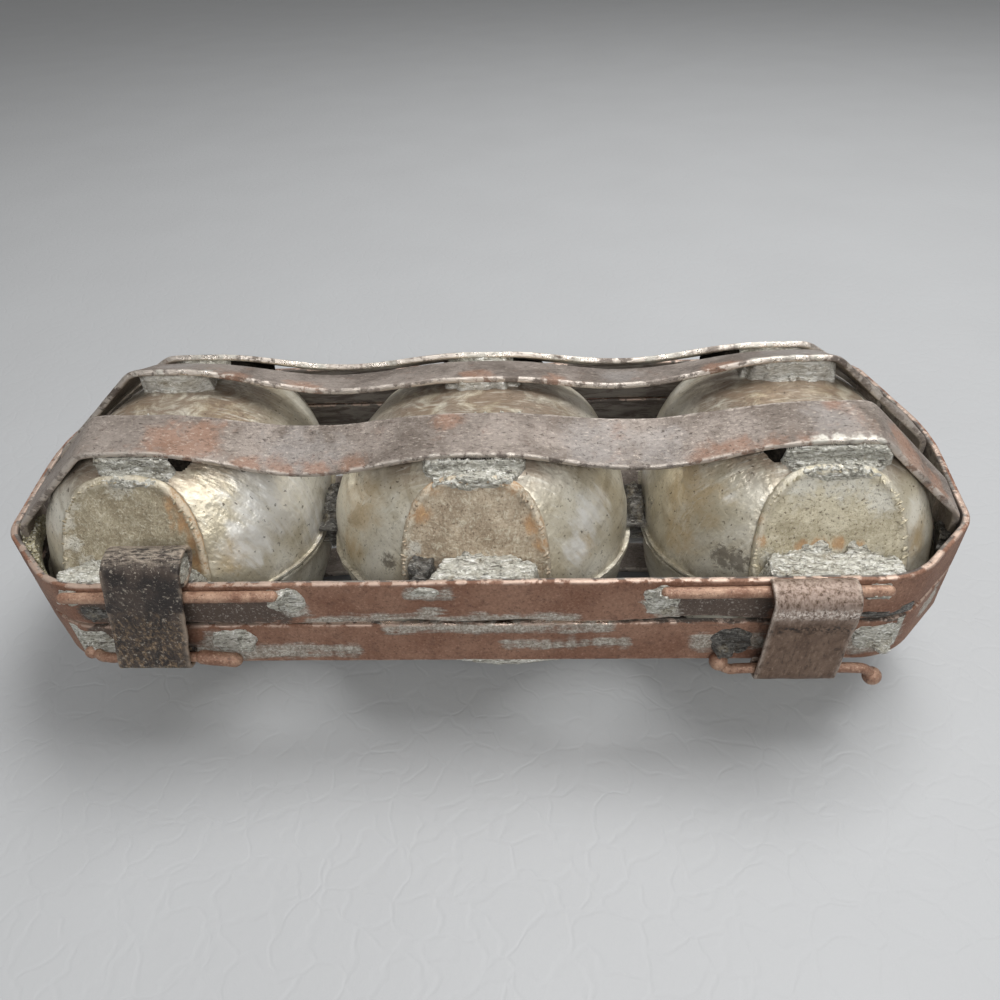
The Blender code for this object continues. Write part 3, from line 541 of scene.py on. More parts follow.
def strap_iron(name):
    """Grey-brown flat iron with blue-grey and orange patches, fine cracks and bright edges."""
    finish = Finish(name)
    broad = finish.noise(17 * MM, 5.0, 0.62, twist=0.6)
    patch = finish.noise(4.5 * MM, 7.0, 0.72, twist=0.6)
    grain = finish.noise(0.6 * MM, 5.0, 0.76, stretch=(0.45, 1.0, 1.0), twist=0.5)
    coarse = finish.noise(1.9 * MM, 5.0, 0.7, shift=(0.7, 0.2, 0.4), twist=0.8)
    cracks = finish.cells(1.5 * MM, "DISTANCE_TO_EDGE", (1.0, 1.5, 1.0), twist=finish.bend(1.0 * MM, 2.2))
    finish.base(broad.above(0.36, 0.62), (0.155, 0.126, 0.105), (0.295, 0.252, 0.22))
    finish.coat(coarse.above(0.54, 0.68) * 0.55, (0.13, 0.095, 0.078))
    blue = finish.mark("blue", patch, 0.2, 1.1)
    finish.coat(blue * 0.6, (0.31, 0.288, 0.272))
    worn = finish.noise(8 * MM, 6.0, 0.7, shift=(1.9, 1.2, 0.6)).above(0.56, 0.72) * 0.5
    red = (finish.mark("rust", patch, 0.2, 1.0) + worn).clamped()
    finish.coat(red * 0.6, (0.29, 0.145, 0.085))
    finish.coat(grain.above(0.54, 0.68) * 0.6, (0.56, 0.49, 0.42))
    finish.coat(grain.above(0.46, 0.33) * 0.9, (0.055, 0.042, 0.034))
    split = cracks.above(0.07, 0.0) * finish.noise(12 * MM, 3.0).above(0.5, 0.64)
    finish.coat(split * 0.35, (0.05, 0.038, 0.032))
    pale = finish.mark("pale", finish.noise(2.5 * MM, 5.0, 0.68))
    finish.coat(pale * 0.9, (0.62, 0.595, 0.53))
    finish.coat(pale * grain.above(0.44, 0.36) * 0.6, (0.16, 0.13, 0.10))
    wear = finish.noise(4 * MM, 4.0, 0.66, shift=(0, 0.3, 0)).above(0.38, 0.55)
    rubbed = (finish.attribute("edge") * wear).above(0.25, 1.0)
    finish.coat(rubbed * 0.85, (0.68, 0.61, 0.54))
    finish.relief(grain, 0.18 * MM)
    finish.relief(coarse, 0.22 * MM)
    finish.relief(finish.noise(5 * MM, 3.0), 0.35 * MM)
    roughness = 0.54 + red * 0.18 - rubbed * 0.22 - pale * 0.1
    metallic = (0.42 - red * 0.3 + rubbed * 0.4 + pale * 0.2).clamped()
    return finish.done(roughness, metallic, 0.4)


def shell_tin(name):
    """Old drawn tin: yellowed silver with forming streaks, golden bloom, dirt and small specks, with
    painted highlights, and painted shade under the straps and partly on the crown.
    """
    finish = Finish(name)
    broad = finish.noise(22 * MM, 5.0, 0.6, twist=0.7)
    bloom = finish.noise(7 * MM, 7.0, 0.72, shift=(0.3, 0.9, 0.2), twist=1.0)
    drawn = finish.streaks(1.5 * MM, 1.0, 0.16)
    long_drawn = finish.streaks(4.5 * MM, 0.25, 1.0, 0.37, 6.0)
    scratch = finish.streaks(0.6 * MM, 1.0, 0.09, 0.71, 3.0)
    fine = finish.noise(0.7 * MM, 4.0, 0.74)
    specks = finish.cells(1.9 * MM, twist=finish.bend(1.2 * MM, 1.8))
    finish.base(broad.above(0.35, 0.65), (0.56, 0.50, 0.37), (0.80, 0.76, 0.65))
    finish.coat(long_drawn.above(0.5, 0.7) * 0.45, (0.29, 0.235, 0.15))
    gold = finish.mark("gold", bloom, 0.1, 1.2)
    finish.coat(gold * 0.75, (0.50, 0.37, 0.20))
    finish.coat(bloom.above(0.54, 0.7) * 0.5, (0.25, 0.195, 0.125))
    height = finish.axis("Z") - PARTING_Z
    # The crown is darker brown: partly its own tone, partly painted shade under the straps.
    crown = height.math("ABSOLUTE", height).above(21 * MM, 31 * MM)
    finish.coat(crown * bloom.above(0.3, 0.56) * 0.9, (0.215, 0.155, 0.11))
    finish.coat(drawn.above(0.54, 0.7) * 0.4, (0.72, 0.69, 0.59))
    finish.coat(scratch.above(0.58, 0.7) * 0.4, (0.80, 0.78, 0.70))
    finish.coat(fine.above(0.44, 0.33) * 0.5, (0.17, 0.13, 0.08))
    # Painted highlights where the shell faces the light.
    bright = finish.mark("bright", drawn, 0.0, 1.3)
    finish.coat(bright * 0.8, (0.93, 0.92, 0.88))
    spots = specks.above(0.2, 0.08) * bloom.above(0.42, 0.56)
    finish.coat(spots * 0.85, (0.06, 0.042, 0.025))
    dirt = finish.noise(1.8 * MM, 6.0, 0.75, shift=(0.1, 0, 0.5), twist=0.8)
    # Dark marks: dirt, and painted shade under the straps.
    grime_and_shade = finish.mark("grime_and_shade", dirt, 0.3, 0.8)
    finish.coat(grime_and_shade * 0.85, (0.075, 0.06, 0.042))
    foot = height.math("ABSOLUTE", height).above(6.0 * MM, 0.5 * MM)
    finish.coat(foot * 0.4 * dirt.above(0.36, 0.6), (0.12, 0.09, 0.055))
    finish.relief(drawn, 0.16 * MM)
    finish.relief(scratch, 0.06 * MM)
    finish.relief(fine, 0.06 * MM)
    finish.relief(finish.noise(6 * MM, 3.0), 0.6 * MM)
    roughness = 0.24 + bloom.above(0.4, 0.75) * 0.22 + drawn * 0.12 + grime_and_shade * 0.25
    metallic = (0.5 - gold * 0.1 - grime_and_shade * 0.4 - bloom.above(0.55, 0.75) * 0.2).clamped()
    return finish.done(roughness, metallic)


def plate_tin(name, dark, light, flecks):
    """Dull khaki tinned plate: hammered, flecked, stained with rust and whitened in places."""
    finish = Finish(name)
    broad = finish.noise(7 * MM, 6.0, 0.68, twist=0.7)
    dabs = finish.noise(1.6 * MM, 6.0, 0.72, twist=0.8)
    dots = finish.noise(0.65 * MM, 5.0, 0.76, shift=(0.3, 0.2, 0.9))
    drips = finish.noise(1.6 * MM, 6.0, 0.7, stretch=(1.0, 1.0, 0.22), shift=(0.2, 0.1, 0.7), twist=0.3)
    finish.base(broad.above(0.36, 0.64), dark, light)
    finish.coat(dabs.above(0.52, 0.66) * 0.6, (0.66, 0.61, 0.48))
    finish.coat(dots.above(0.53, 0.65) * 0.5, (0.72, 0.67, 0.55))
    finish.coat(dots.above(0.46, 0.35) * flecks, (0.10, 0.07, 0.045))
    stain = finish.mark("rust", drips, 0.2, 1.1)
    finish.coat(stain * 0.8, (0.40, 0.22, 0.095))
    finish.coat(stain * dabs.above(0.5, 0.62) * 0.6, (0.55, 0.36, 0.17))
    grime_and_shade = finish.mark("grime_and_shade", dabs)
    finish.coat(grime_and_shade * 0.7, (0.10, 0.085, 0.07))
    pale = finish.mark("pale", dabs, 0.2, 1.1)
    finish.coat(pale * 0.8, (0.66, 0.64, 0.565))
    finish.coat(pale * dots.above(0.46, 0.36) * 0.8, (0.12, 0.095, 0.07))
    crimp = (finish.attribute("edge") * dabs.above(0.38, 0.54)).clamped()
    finish.coat(crimp * 0.6, (0.66, 0.60, 0.48))
    finish.relief(dabs, 0.35 * MM)
    finish.relief(dots, 0.14 * MM)
    roughness = 0.44 + stain * 0.3 - crimp * 0.12
    metallic = (0.45 - stain * 0.4).clamped()
    return finish.done(roughness, metallic)


def solder_crust(name, dark, light, folded=1.0, fleck=(0.95, 0.94, 0.90)):
    """Soft solder: dull, wrinkled and flaky, dark in its folds by the given share."""
    finish = Finish(name)
    folds = finish.noise(2.1 * MM, 6.0, 0.74, stretch=(0.32, 1.0, 1.7), twist=2.0)
    grain = finish.noise(0.7 * MM, 4.0, 0.76, stretch=(0.35, 1.0, 1.3), twist=1.0)
    dirt = finish.noise(4.0 * MM, 6.0, 0.72, shift=(0.5, 0.5, 0.1))
    finish.base(folds.above(0.40, 0.58), dark, light)
    finish.coat(dirt.above(0.52, 0.68) * 0.6, (0.30, 0.25, 0.165))
    finish.coat(grain.above(0.52, 0.62) * 0.85, fleck)
    gap = (grain.above(0.46, 0.38) * 0.7 + folds.above(0.44, 0.35)).clamped() * folded
    finish.coat(gap * 0.85, (0.06, 0.048, 0.036))
    finish.relief(folds, 0.7 * MM)
    finish.relief(grain, 0.22 * MM)
    roughness = 0.36 + dirt.above(0.5, 0.7) * 0.2 + gap * 0.25
    metallic = (0.5 - gap * 0.3 - dirt.above(0.54, 0.7) * 0.2).clamped()
    return finish.done(roughness, metallic)


def packed_dirt(name):
    """Near-black with a dull, lumpy face: painted shade, with some dirt, in the gaps under the straps
    and behind the seam.
    """
    finish = Finish(name)
    grain = finish.noise(0.8 * MM, 5.0, 0.7)
    finish.base(grain.above(0.4, 0.65), (0.006, 0.005, 0.004), (0.022, 0.018, 0.014))
    finish.relief(grain, 0.2 * MM)
    return finish.done(0.95, 0.0, 0.05)


def wire_rust(name):
    """Rusted round wire with pale and dark grain."""
    finish = Finish(name)
    broad = finish.noise(5 * MM, 5.0, 0.66)
    grain = finish.noise(0.55 * MM, 4.0, 0.75)
    finish.base(broad.above(0.35, 0.65), (0.21, 0.105, 0.065), (0.40, 0.25, 0.17))
    finish.coat(grain.above(0.54, 0.68) * 0.6, (0.60, 0.44, 0.33))
    finish.coat(grain.above(0.46, 0.33) * 0.8, (0.07, 0.04, 0.03))
    finish.relief(grain, 0.14 * MM)
    return finish.done(0.55 - broad * 0.15, 0.3)


def clip_black(name):
    """Near-black sheet with brown rust coming through below its roll, and pale speckles; the roll's
    upper front is painted lighter, a painted reflection of the light above.
    """
    finish = Finish(name)
    broad = finish.noise(5 * MM, 6.0, 0.68)
    speck = finish.noise(0.9 * MM, 6.0, 0.76, stretch=(1.0, 1.0, 0.6))
    fleck = finish.noise(0.6 * MM, 5.0, 0.76, stretch=(0.7, 1.0, 0.7), shift=(0.4, 0, 0.9))
    reflection_streaks = finish.noise(0.8 * MM, 6.0, 0.76, stretch=(0.3, 1.0, 1.0), shift=(0.4, 0.6, 0.1))
    height = finish.axis("Z") - PARTING_Z
    body = height.above(12 * MM, 3 * MM)
    # The roll's upper front is painted lighter: a painted reflection of the light above, in streaks.
    top = (finish.axis("Y") - FRONT_Y).above(-3.6 * MM, -1.4 * MM) * height.above(15 * MM, 18 * MM)
    finish.base(broad.above(0.4, 0.6), (0.028, 0.022, 0.020), (0.07, 0.052, 0.042))
    finish.coat(top * reflection_streaks.above(0.40, 0.60) * 0.9, (0.34, 0.285, 0.225))
    finish.coat(body * speck.above(0.46, 0.58) * 0.8, (0.17, 0.115, 0.07))
    finish.coat(body * speck.above(0.55, 0.64) * 0.75, (0.38, 0.27, 0.17))
    finish.coat(fleck.above(0.57, 0.64) * 0.7, (0.50, 0.44, 0.36))
    finish.coat(body * fleck.above(0.44, 0.36) * 0.8, (0.02, 0.015, 0.012))
    yellow = height.above(-7 * MM, -10.5 * MM) * speck.above(0.46, 0.58)
    finish.coat(yellow * 0.8, (0.40, 0.28, 0.09))
    rubbed = (finish.attribute("edge") * broad.above(0.4, 0.58)).clamped()
    finish.coat(rubbed * 0.7, (0.44, 0.35, 0.27))
    finish.relief(speck, 0.22 * MM)
    finish.relief(fleck, 0.14 * MM)
    finish.relief(broad, 0.4 * MM)
    return finish.done(0.34 + speck * 0.22, 0.4)


def clip_brown(name):
    """Brown sheet with upright grain, mauve on its bend with a painted highlight along it, and a dark
    pitted row under it.
    """
    finish = Finish(name)
    broad = finish.noise(5 * MM, 5.0, 0.66)
    grain = finish.noise(0.8 * MM, 6.0, 0.76, stretch=(1.0, 1.0, 0.35))
    dots = finish.noise(0.75 * MM, 5.0, 0.78, shift=(0.4, 0.3, 0.2))
    height = finish.axis("Z") - PARTING_Z
    bend = height.above(5 * MM, 10 * MM)
    # A painted highlight along the bend.
    shine = height.near(9.2 * MM, 2.2 * MM)
    row = height.near(4.4 * MM, 2.6 * MM)
    finish.base(broad.above(0.36, 0.64), (0.115, 0.070, 0.046), (0.18, 0.118, 0.082))
    finish.coat(grain.above(0.52, 0.66) * 0.7, (0.30, 0.21, 0.155))
    finish.coat(grain.above(0.46, 0.36) * 0.7, (0.05, 0.03, 0.02))
    finish.coat(bend * grain.above(0.35, 0.6) * 0.8, (0.36, 0.285, 0.24))
    finish.coat(shine * dots.above(0.46, 0.58) * 0.9, (0.85, 0.76, 0.68))
    finish.coat(row * dots.above(0.50, 0.58) * 0.9, (0.025, 0.018, 0.015))
    rubbed = (finish.attribute("edge") * grain.above(0.36, 0.56)).clamped()
    finish.coat(rubbed * 0.7, (0.50, 0.43, 0.37))
    finish.relief(grain, 0.16 * MM)
    finish.relief(dots, 0.14 * MM)
    finish.relief(row * dots.above(0.50, 0.58), -0.2 * MM)
    return finish.done(0.46 - bend * 0.12, 0.45, 0.4)


FINISHES = {
    "band": band_rust("band_rust"),
    "strap": strap_iron("strap_iron"),
    "shell": shell_tin("shell_tin"),
    "solder": solder_crust("solder_crust", (0.40, 0.385, 0.32), (0.64, 0.625, 0.555)),
    "solder_smooth": solder_crust("solder_smooth", (0.52, 0.49, 0.42), (0.76, 0.745, 0.69), 0.45),
    "solder_dark": solder_crust("solder_in_shade", (0.035, 0.032, 0.029), (0.15, 0.143, 0.13),
                                fleck=(0.34, 0.33, 0.30)),
    "solder_khaki": solder_crust("solder_yellowed", (0.31, 0.275, 0.165), (0.56, 0.51, 0.34)),
    "grime_and_shade": packed_dirt("packed_dirt"),
    "wire": wire_rust("wire_rust"),
    "clip_left": clip_black("clip_black"),
    "clip_right": clip_brown("clip_brown"),
    "hinge": strap_iron("hinge_iron"),
    "plate_left": plate_tin("plate_tin_left", (0.30, 0.25, 0.165), (0.43, 0.375, 0.265), 0.55),
    "plate_center": plate_tin("plate_tin_center", (0.33, 0.255, 0.175), (0.47, 0.385, 0.28), 0.8),
    "plate_right": plate_tin("plate_tin_right", (0.44, 0.385, 0.265), (0.60, 0.545, 0.405), 0.9),
}
WIRE_SHAPING = wire_shaping()
FLAKE_SHAPING = flake_shaping()
CRIMP_SHAPING = crimp_shaping()


# Meshes

def in_scene(thing):
    """The thing, linked to the scene."""
    bpy.context.scene.collection.objects.link(thing)
    return thing


def finish_piece(name, mesh, body, finish, nodes=(), sharp=40):
    """Puts a finished mesh in the scene on its body, and hides the nodes that it stands for."""
    mesh.shade_smooth()
    mesh.set_sharp_from_angle(angle=math.radians(sharp))
    mesh.materials.clear()
    mesh.materials.append(FINISHES[finish])
    piece = in_scene(bpy.data.objects.new(name, mesh))
    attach(piece, body)
    if nodes:
        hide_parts(*nodes)


def shaped(name, source_mesh, shaping, sizes):
    """The plain mesh that a geometry tree makes from a source mesh."""
    source = in_scene(bpy.data.objects.new(name, source_mesh))
    modifier = source.modifiers.new("shaping", "NODES")
    modifier.node_group = shaping.tree
    for item in shaping.tree.interface.items_tree:
        if item.in_out == "INPUT" and item.name in sizes:
            modifier[item.identifier] = sizes[item.name]
    result = source.evaluated_get(bpy.context.evaluated_depsgraph_get())
    mesh = bpy.data.meshes.new_from_object(result)
    mesh.name = name
    bpy.data.objects.remove(source)
    return mesh


def line_mesh(name, points):
    mesh = bpy.data.meshes.new(name)
    mesh.from_pydata([tuple(point) for point in points], [(i, i + 1) for i in range(len(points) - 1)], [])
    return mesh


def close_mesh(name, bm):
    bmesh.ops.recalc_face_normals(bm, faces=bm.faces)
    mesh = bpy.data.meshes.new(name)
    bm.to_mesh(mesh)
    bm.free()
    return mesh


def paint(mesh, half, node):
    """Writes a node's marks of age, painted highlights and painted shade on its mesh, one attribute
    for each kind.
    """
    for mark, spots in SPOTS.get(node, {}).items():
        layer = mesh.attributes.new(mark, "FLOAT", "POINT")
        for vert, value in zip(mesh.vertices, layer.data):
            place = to_half(vert.co, half) / MM
            ragged = 0.22 * wobble(place, 4.0, 3)
            strength = 0.0
            for x, y, z, reach in spots:
                away = (place - Vector((x, y, z))).length / reach + ragged
                strength = max(strength, 1.0 - smooth_step(0.1, 1.15, away))
            value.value = strength


def bridge(bm, rows, closed=False):
    """Quads between rows of vertices, each row closed on itself or open."""
    for first, second in zip(rows, rows[1:]):
        count = len(first)
        for index in range(count if closed else count - 1):
            following = (index + 1) % count
            bm.faces.new((first[index], first[following], second[following], second[index]))


def mesh_from_rings(name, rings, closed_path, marks):
    """A skin over rings of points, with flat ends unless the path closes on itself. Each mark
    is an attribute with one value for each point of a ring."""
    bm = bmesh.new()
    layers = [(bm.verts.layers.float.new(mark), values) for mark, values in marks.items()]
    rows = []
    for ring in rings:
        row = [bm.verts.new(point) for point in ring]
        for layer, values in layers:
            for vert, value in zip(row, values):
                vert[layer] = value
        rows.append(row)
    bridge(bm, rows + rows[:1] if closed_path else rows, closed=True)
    if not closed_path:
        bm.faces.new(rows[0])
        bm.faces.new(list(reversed(rows[-1])))
    return close_mesh(name, bm)


def strip_section(width, thickness, columns):
    """A flat strip's rounded cross-section as (across, in, edge) with worn corners."""
    radius = min(0.45 * MM, 0.35 * thickness)
    outline = []
    corners = [(radius, radius, 180), (width - radius, radius, 270),
               (width - radius, thickness - radius, 0), (radius, thickness - radius, 90)]
    for index, (across, depth, start) in enumerate(corners):
        for step in range(4):
            angle = math.radians(start + 30 * step)
            outline.append((across + radius * math.cos(angle), depth + radius * math.sin(angle)))
        if index in (0, 2):
            following = corners[index + 1]
            shift = radius if index == 0 else -radius
            for column in range(1, columns):
                outline.append((blend(across, following[0], column / columns), depth - shift))
    return [(a, d, max(0.0, 1.0 - min(a, width - a) / (1.0 * MM))) for a, d in outline]


def resample(points, step, closed=False):
    """Points every step along a path."""
    path = points + points[:1] if closed else points
    lengths = [0.0]
    for first, second in zip(path, path[1:]):
        lengths.append(lengths[-1] + (second - first).length)
    count = max(2, round(lengths[-1] / step))
    result = []
    index = 0
    for number in range(count if closed else count + 1):
        wanted = lengths[-1] * number / count
        while index < len(lengths) - 2 and lengths[index + 1] < wanted:
            index += 1
        share = (wanted - lengths[index]) / (lengths[index + 1] - lengths[index])
        result.append(path[index].lerp(path[index + 1], share))
    return result


def soften(points, passes):
    """The path with its corners rounded by averaging neighbours."""
    for _ in range(passes):
        last = len(points) - 1
        inner = [points[i - 1] * 0.25 + points[i] * 0.5 + points[i + 1] * 0.25 for i in range(1, last)]
        points = [points[0]] + inner + [points[last]]
    return points


def heading(points, index):
    """The way along a path at one of its points."""
    return points[min(index + 1, len(points) - 1)] - points[max(index - 1, 0)]


def superpower(value, fullness):
    return math.copysign(abs(value) ** (2.0 / fullness), value)


# Shells: how many cross-sections lie before and behind the widest place, and the steps round each
FRONT_RINGS = 20
TAIL_RINGS = 32
ARC_STEPS = 64


def shell_stations(inset, drop):
    """Cross-sections of a shell from its cut front to its tail, drawn in by the inset."""
    stations = []
    front_y = PLATE_FOOT_Y + SHEET + SEAT_GAP
    for ring in range(FRONT_RINGS):
        share = ring / FRONT_RINGS
        stations.append({
            "y": blend(front_y, SHELL_WIDEST_Y, share),
            "lean": PLATE_LEAN * (1.0 - share),
            "widening": 1.0 - (1.0 - share) ** 2.5,
            "scale": 1.0,
            "height": blend(PLATE_HEIGHT, SHELL_HEIGHT, 1.0 - (1.0 - share) ** 2) - drop - inset,
            "inner": blend(PLATE_FULLNESS, INNER_FULLNESS, share),
            "outer": blend(PLATE_FULLNESS, OUTER_FULLNESS, min(1.0, 1.6 * share)),
        })
    tail = SHELL_END_Y - SHELL_WIDEST_Y - inset
    for ring in range(TAIL_RINGS):
        share = ring / TAIL_RINGS
        angle = 0.5 * math.pi * share
        reach = superpower(math.sin(angle), TAIL_PLAN_FULLNESS)
        crown = (1.0 - reach ** TAIL_FULLNESS) ** (1.0 / TAIL_FULLNESS)
        stations.append({
            "y": SHELL_WIDEST_Y + tail * reach,
            "lean": 0.0,
            "widening": 1.0,
            "scale": superpower(math.cos(angle), TAIL_PLAN_FULLNESS),
            "height": (SHELL_HEIGHT - drop - inset) * crown,
            "inner": blend(INNER_FULLNESS, TAIL_FULLNESS, share),
            "outer": blend(OUTER_FULLNESS, TAIL_FULLNESS, share),
        })
    return stations


def shell_half_width(station, side, outer_side, inset):
    widest = END_SHELL_OUTER_HALF_WIDTH if side == outer_side else SHELL_HALF_WIDTH
    full = blend(PLATE_HALF_WIDTH, widest, station["widening"])
    return (full - inset) * station["scale"]


def dented(point, seed):
    """How far hand forming has moved the sheet at a point."""
    broad = 0.50 * MM * wobble(point, 17 * MM, seed)
    ridged = -0.30 * MM * abs(wobble(point, 9 * MM, seed + 8))
    small = 0.14 * MM * wobble(point, 4 * MM, seed + 3)
    return min(broad + ridged + small, 0.35 * MM)


def shell_ring(station, outer_side, inset, foot, seed):
    """One cross-section's points from its +X foot over the crown to its -X foot."""
    ring = []
    for step in range(ARC_STEPS + 1):
        angle = math.pi * step / ARC_STEPS
        side = 1 if math.cos(angle) >= 0 else -1
        fullness = station["outer"] if side == outer_side else station["inner"]
        x = shell_half_width(station, side, outer_side, inset) * superpower(math.cos(angle), fullness)
        z = foot + max(station["height"] - foot, 0.0) * superpower(math.sin(angle), fullness)
        point = Vector((x, station["y"] + station["lean"] * z, z))
        outward = Vector((math.cos(angle), 0.0, math.sin(angle)))
        clear_of_rim = smooth_step(0.5 * MM, 6 * MM, z)
        ring.append(point + outward * dented(point, seed) * clear_of_rim)
    return ring


def shell_rim(outer, outer_pole, seed):
    """The uneven outer edge of the rim, round the shell's plan outline."""
    outline = [ring[0] for ring in outer] + [outer_pole] + [ring[-1] for ring in reversed(outer)]
    rim = []
    for index, point in enumerate(outline):
        along = heading(outline, index)
        away = Vector((along.y, -along.x, 0.0)).normalized()
        if index in (0, len(outline) - 1):
            away = Vector((math.copysign(1.0, away.x), 0.0, 0.0))
        spread = SHELL_RIM * (1.0 + 0.35 * wobble(point, 3 * MM, seed + 5))
        rim.append(Vector((point.x, point.y, outer_pole.z)) + away * spread)
    return rim


def girth_of(ring):
    """Distance round a cross-section from its crown, negative on the -X side."""
    crown = len(ring) // 2
    girth = [0.0] * len(ring)
    for index in range(crown - 1, -1, -1):
        girth[index] = girth[index + 1] + (ring[index] - ring[index + 1]).length
    for index in range(crown + 1, len(ring)):
        girth[index] = girth[index - 1] - (ring[index] - ring[index - 1]).length
    return girth


def shell_mesh(name, half, x, outer_side, seed):
    """The half-egg with its rim, and a tree for finding places on its outer face."""
    rim_top = HALF_GAP + RIM_THICKNESS
    drop = 0.0 if outer_side else CENTER_SHELL_DROP
    shift = Vector((x, 0, 0))
    outer = [shell_ring(s, outer_side, 0.0, rim_top, seed) for s in shell_stations(0.0, drop)]
    inner = [shell_ring(s, outer_side, SHEET, HALF_GAP, seed) for s in shell_stations(SHEET, drop)]
    outer_pole = Vector((0, SHELL_END_Y, rim_top))
    inner_pole = Vector((0, SHELL_END_Y - SHEET, HALF_GAP))
    rim = shell_rim(outer, outer_pole, seed)
    bm = bmesh.new()
    along_layer = bm.verts.layers.float.new("along")
    around_layer = bm.verts.layers.float.new("around")

    def verts(points, girth=None):
        made = [bm.verts.new(to_world(point + shift, half)) for point in points]
        for index, vert in enumerate(made):
            vert[along_layer] = points[index].y + x
            vert[around_layer] = girth[index] if girth else 0.05
        return made

    outer_rows = [verts(ring, girth_of(ring)) for ring in outer]
    inner_rows = [verts(ring, girth_of(ring)) for ring in inner]
    outer_end, inner_end = verts([outer_pole, inner_pole])
    high = verts(rim)
    low = verts([Vector((p.x, p.y, HALF_GAP)) for p in rim])
    edges = []
    for rows, end in ((outer_rows, outer_end), (inner_rows, inner_end)):
        bridge(bm, rows)
        for first, second in zip(rows[-1], rows[-1][1:]):
            bm.faces.new((first, second, end))
        edges.append([row[0] for row in rows] + [end] + [row[-1] for row in reversed(rows)])
    bridge(bm, [edges[0], high, low, edges[1]])
    bridge(bm, [outer_rows[0], inner_rows[0]])
    for end in (0, -1):
        bm.faces.new((outer_rows[0][end], inner_rows[0][end], low[end], high[end]))
    width = ARC_STEPS + 1
    places = [point + shift for ring in outer for point in ring]
    corners = [row * width + step for row in range(len(outer) - 1) for step in range(ARC_STEPS)]
    quads = [(corner, corner + 1, corner + width + 1, corner + width) for corner in corners]
    return close_mesh(name, bm), BVHTree.FromPolygons(places, quads)


def build_shell(half, side, outer_side):
    name = f"{half}_shell_{side}"
    seed = 11 + 5 * SIDES[side] + 17 * HALVES[half]
    mesh, surface = shell_mesh(f"{name}_sheet", half, outer_side * SHELL_PITCH, outer_side, seed)
    paint(mesh, half, name)
    finish_piece(f"{name}_sheet", mesh, BODY[half], "shell", [name])
    return surface


# End plates: the steps round each, and where its crimps lie inside its border
PLATE_STEPS = 160
PLATE_RINGS = 30
CRIMPED_STEPS = slice(4, 77)
CRIMP_WIDTH_SHARE = 0.955
CRIMP_HEIGHT_SHARE = 0.97
CRIMP_SIZE = 0.9 * MM


def plate_y(z):
    """Depth of a plate's front face at a height."""
    return PLATE_FOOT_Y + PLATE_LEAN * z


def plate_outline(outer_side):
    """The plate's border in (x, z) from its +X foot over the top and back along the foot."""
    half_width = PLATE_HALF_WIDTH + PLATE_OVERLAP
    height = PLATE_HEIGHT + PLATE_OVERLAP - (0.0 if outer_side else CENTER_SHELL_DROP)
    outline = []
    for step in range(PLATE_STEPS):
        angle = 2 * math.pi * step / PLATE_STEPS
        x = half_width * math.cos(angle)
        z = HALF_GAP
        if angle <= math.pi:
            x = half_width * superpower(math.cos(angle), PLATE_FULLNESS)
            z = HALF_GAP + (height - HALF_GAP) * superpower(math.sin(angle), PLATE_FULLNESS)
        outline.append((x, z))
    return outline


def plate_mesh(name, half, outer_side, seed):
    """A hammered plate with a raised, uneven border."""
    outline = plate_outline(outer_side)
    centre_z = 0.42 * max(z for x, z in outline)
    shift = Vector((outer_side * SHELL_PITCH, 0, 0))
    bm = bmesh.new()
    layer = bm.verts.layers.float.new("edge")

    def row(share, front):
        verts = []
        for step, (x, z) in enumerate(outline):
            notch = max(0.0, noise.noise(Vector((step * 0.5, seed * 3.3, 0.0))))
            trim = 1.0 - 0.02 * notch * smooth_step(0.93, 1.0, share)
            point = Vector((x * share * trim, 0, centre_z + (z - centre_z) * share * trim))
            border = smooth_step(0.88, 0.93, share)
            hammer = 0.30 * MM * wobble(point, 5 * MM, seed) + 0.14 * MM * wobble(point, 1.8 * MM, seed + 2)
            proud = border * (0.55 * MM - 0.45 * MM * notch) + hammer
            if share >= 1.0:
                proud = -0.1 * MM
            y = plate_y(point.z) + (-proud if front else SHEET)
            vert = bm.verts.new(to_world(Vector((point.x, y, point.z)) + shift, half))
            vert[layer] = border if front else 0.0
            verts.append(vert)
        return verts

    front = [row(index / PLATE_RINGS, True) for index in range(1, PLATE_RINGS + 1)]
    back = row(1.0, False)
    middle = bm.verts.new(to_world(Vector((0, plate_y(centre_z), centre_z)) + shift, half))
    for first, second in zip(front[0], front[0][1:] + front[0][:1]):
        bm.faces.new((middle, first, second))
    bridge(bm, front + [back], closed=True)
    bm.faces.new(back)
    return close_mesh(name, bm)


def build_plate(half, side, outer_side):
    """A plate, and the crimps along its border."""
    name = f"{half}_end_plate_{side}"
    seed = 31 + 3 * SIDES[side] + 7 * HALVES[half]
    mesh = plate_mesh(f"{name}_sheet", half, outer_side, seed)
    paint(mesh, half, name)
    finish_piece(f"{name}_sheet", mesh, BODY[half], f"plate_{side}", [name], 60)
    border = []
    for x, z in plate_outline(outer_side)[CRIMPED_STEPS]:
        x *= CRIMP_WIDTH_SHARE
        z *= CRIMP_HEIGHT_SHARE
        border.append(to_world(Vector((x + outer_side * SHELL_PITCH, plate_y(z) - 0.35 * MM, z)), half))
    sizes = {"Length": CRIMP_SIZE, "Spacing": CRIMP_SIZE, "Seed": seed, "Material": FINISHES[f"plate_{side}"]}
    crimps = shaped(f"{name}_crimps", line_mesh("border", border), CRIMP_SHAPING, sizes)
    finish_piece(f"{name}_crimps", crimps, BODY[half], f"plate_{side}")


# Frame bands

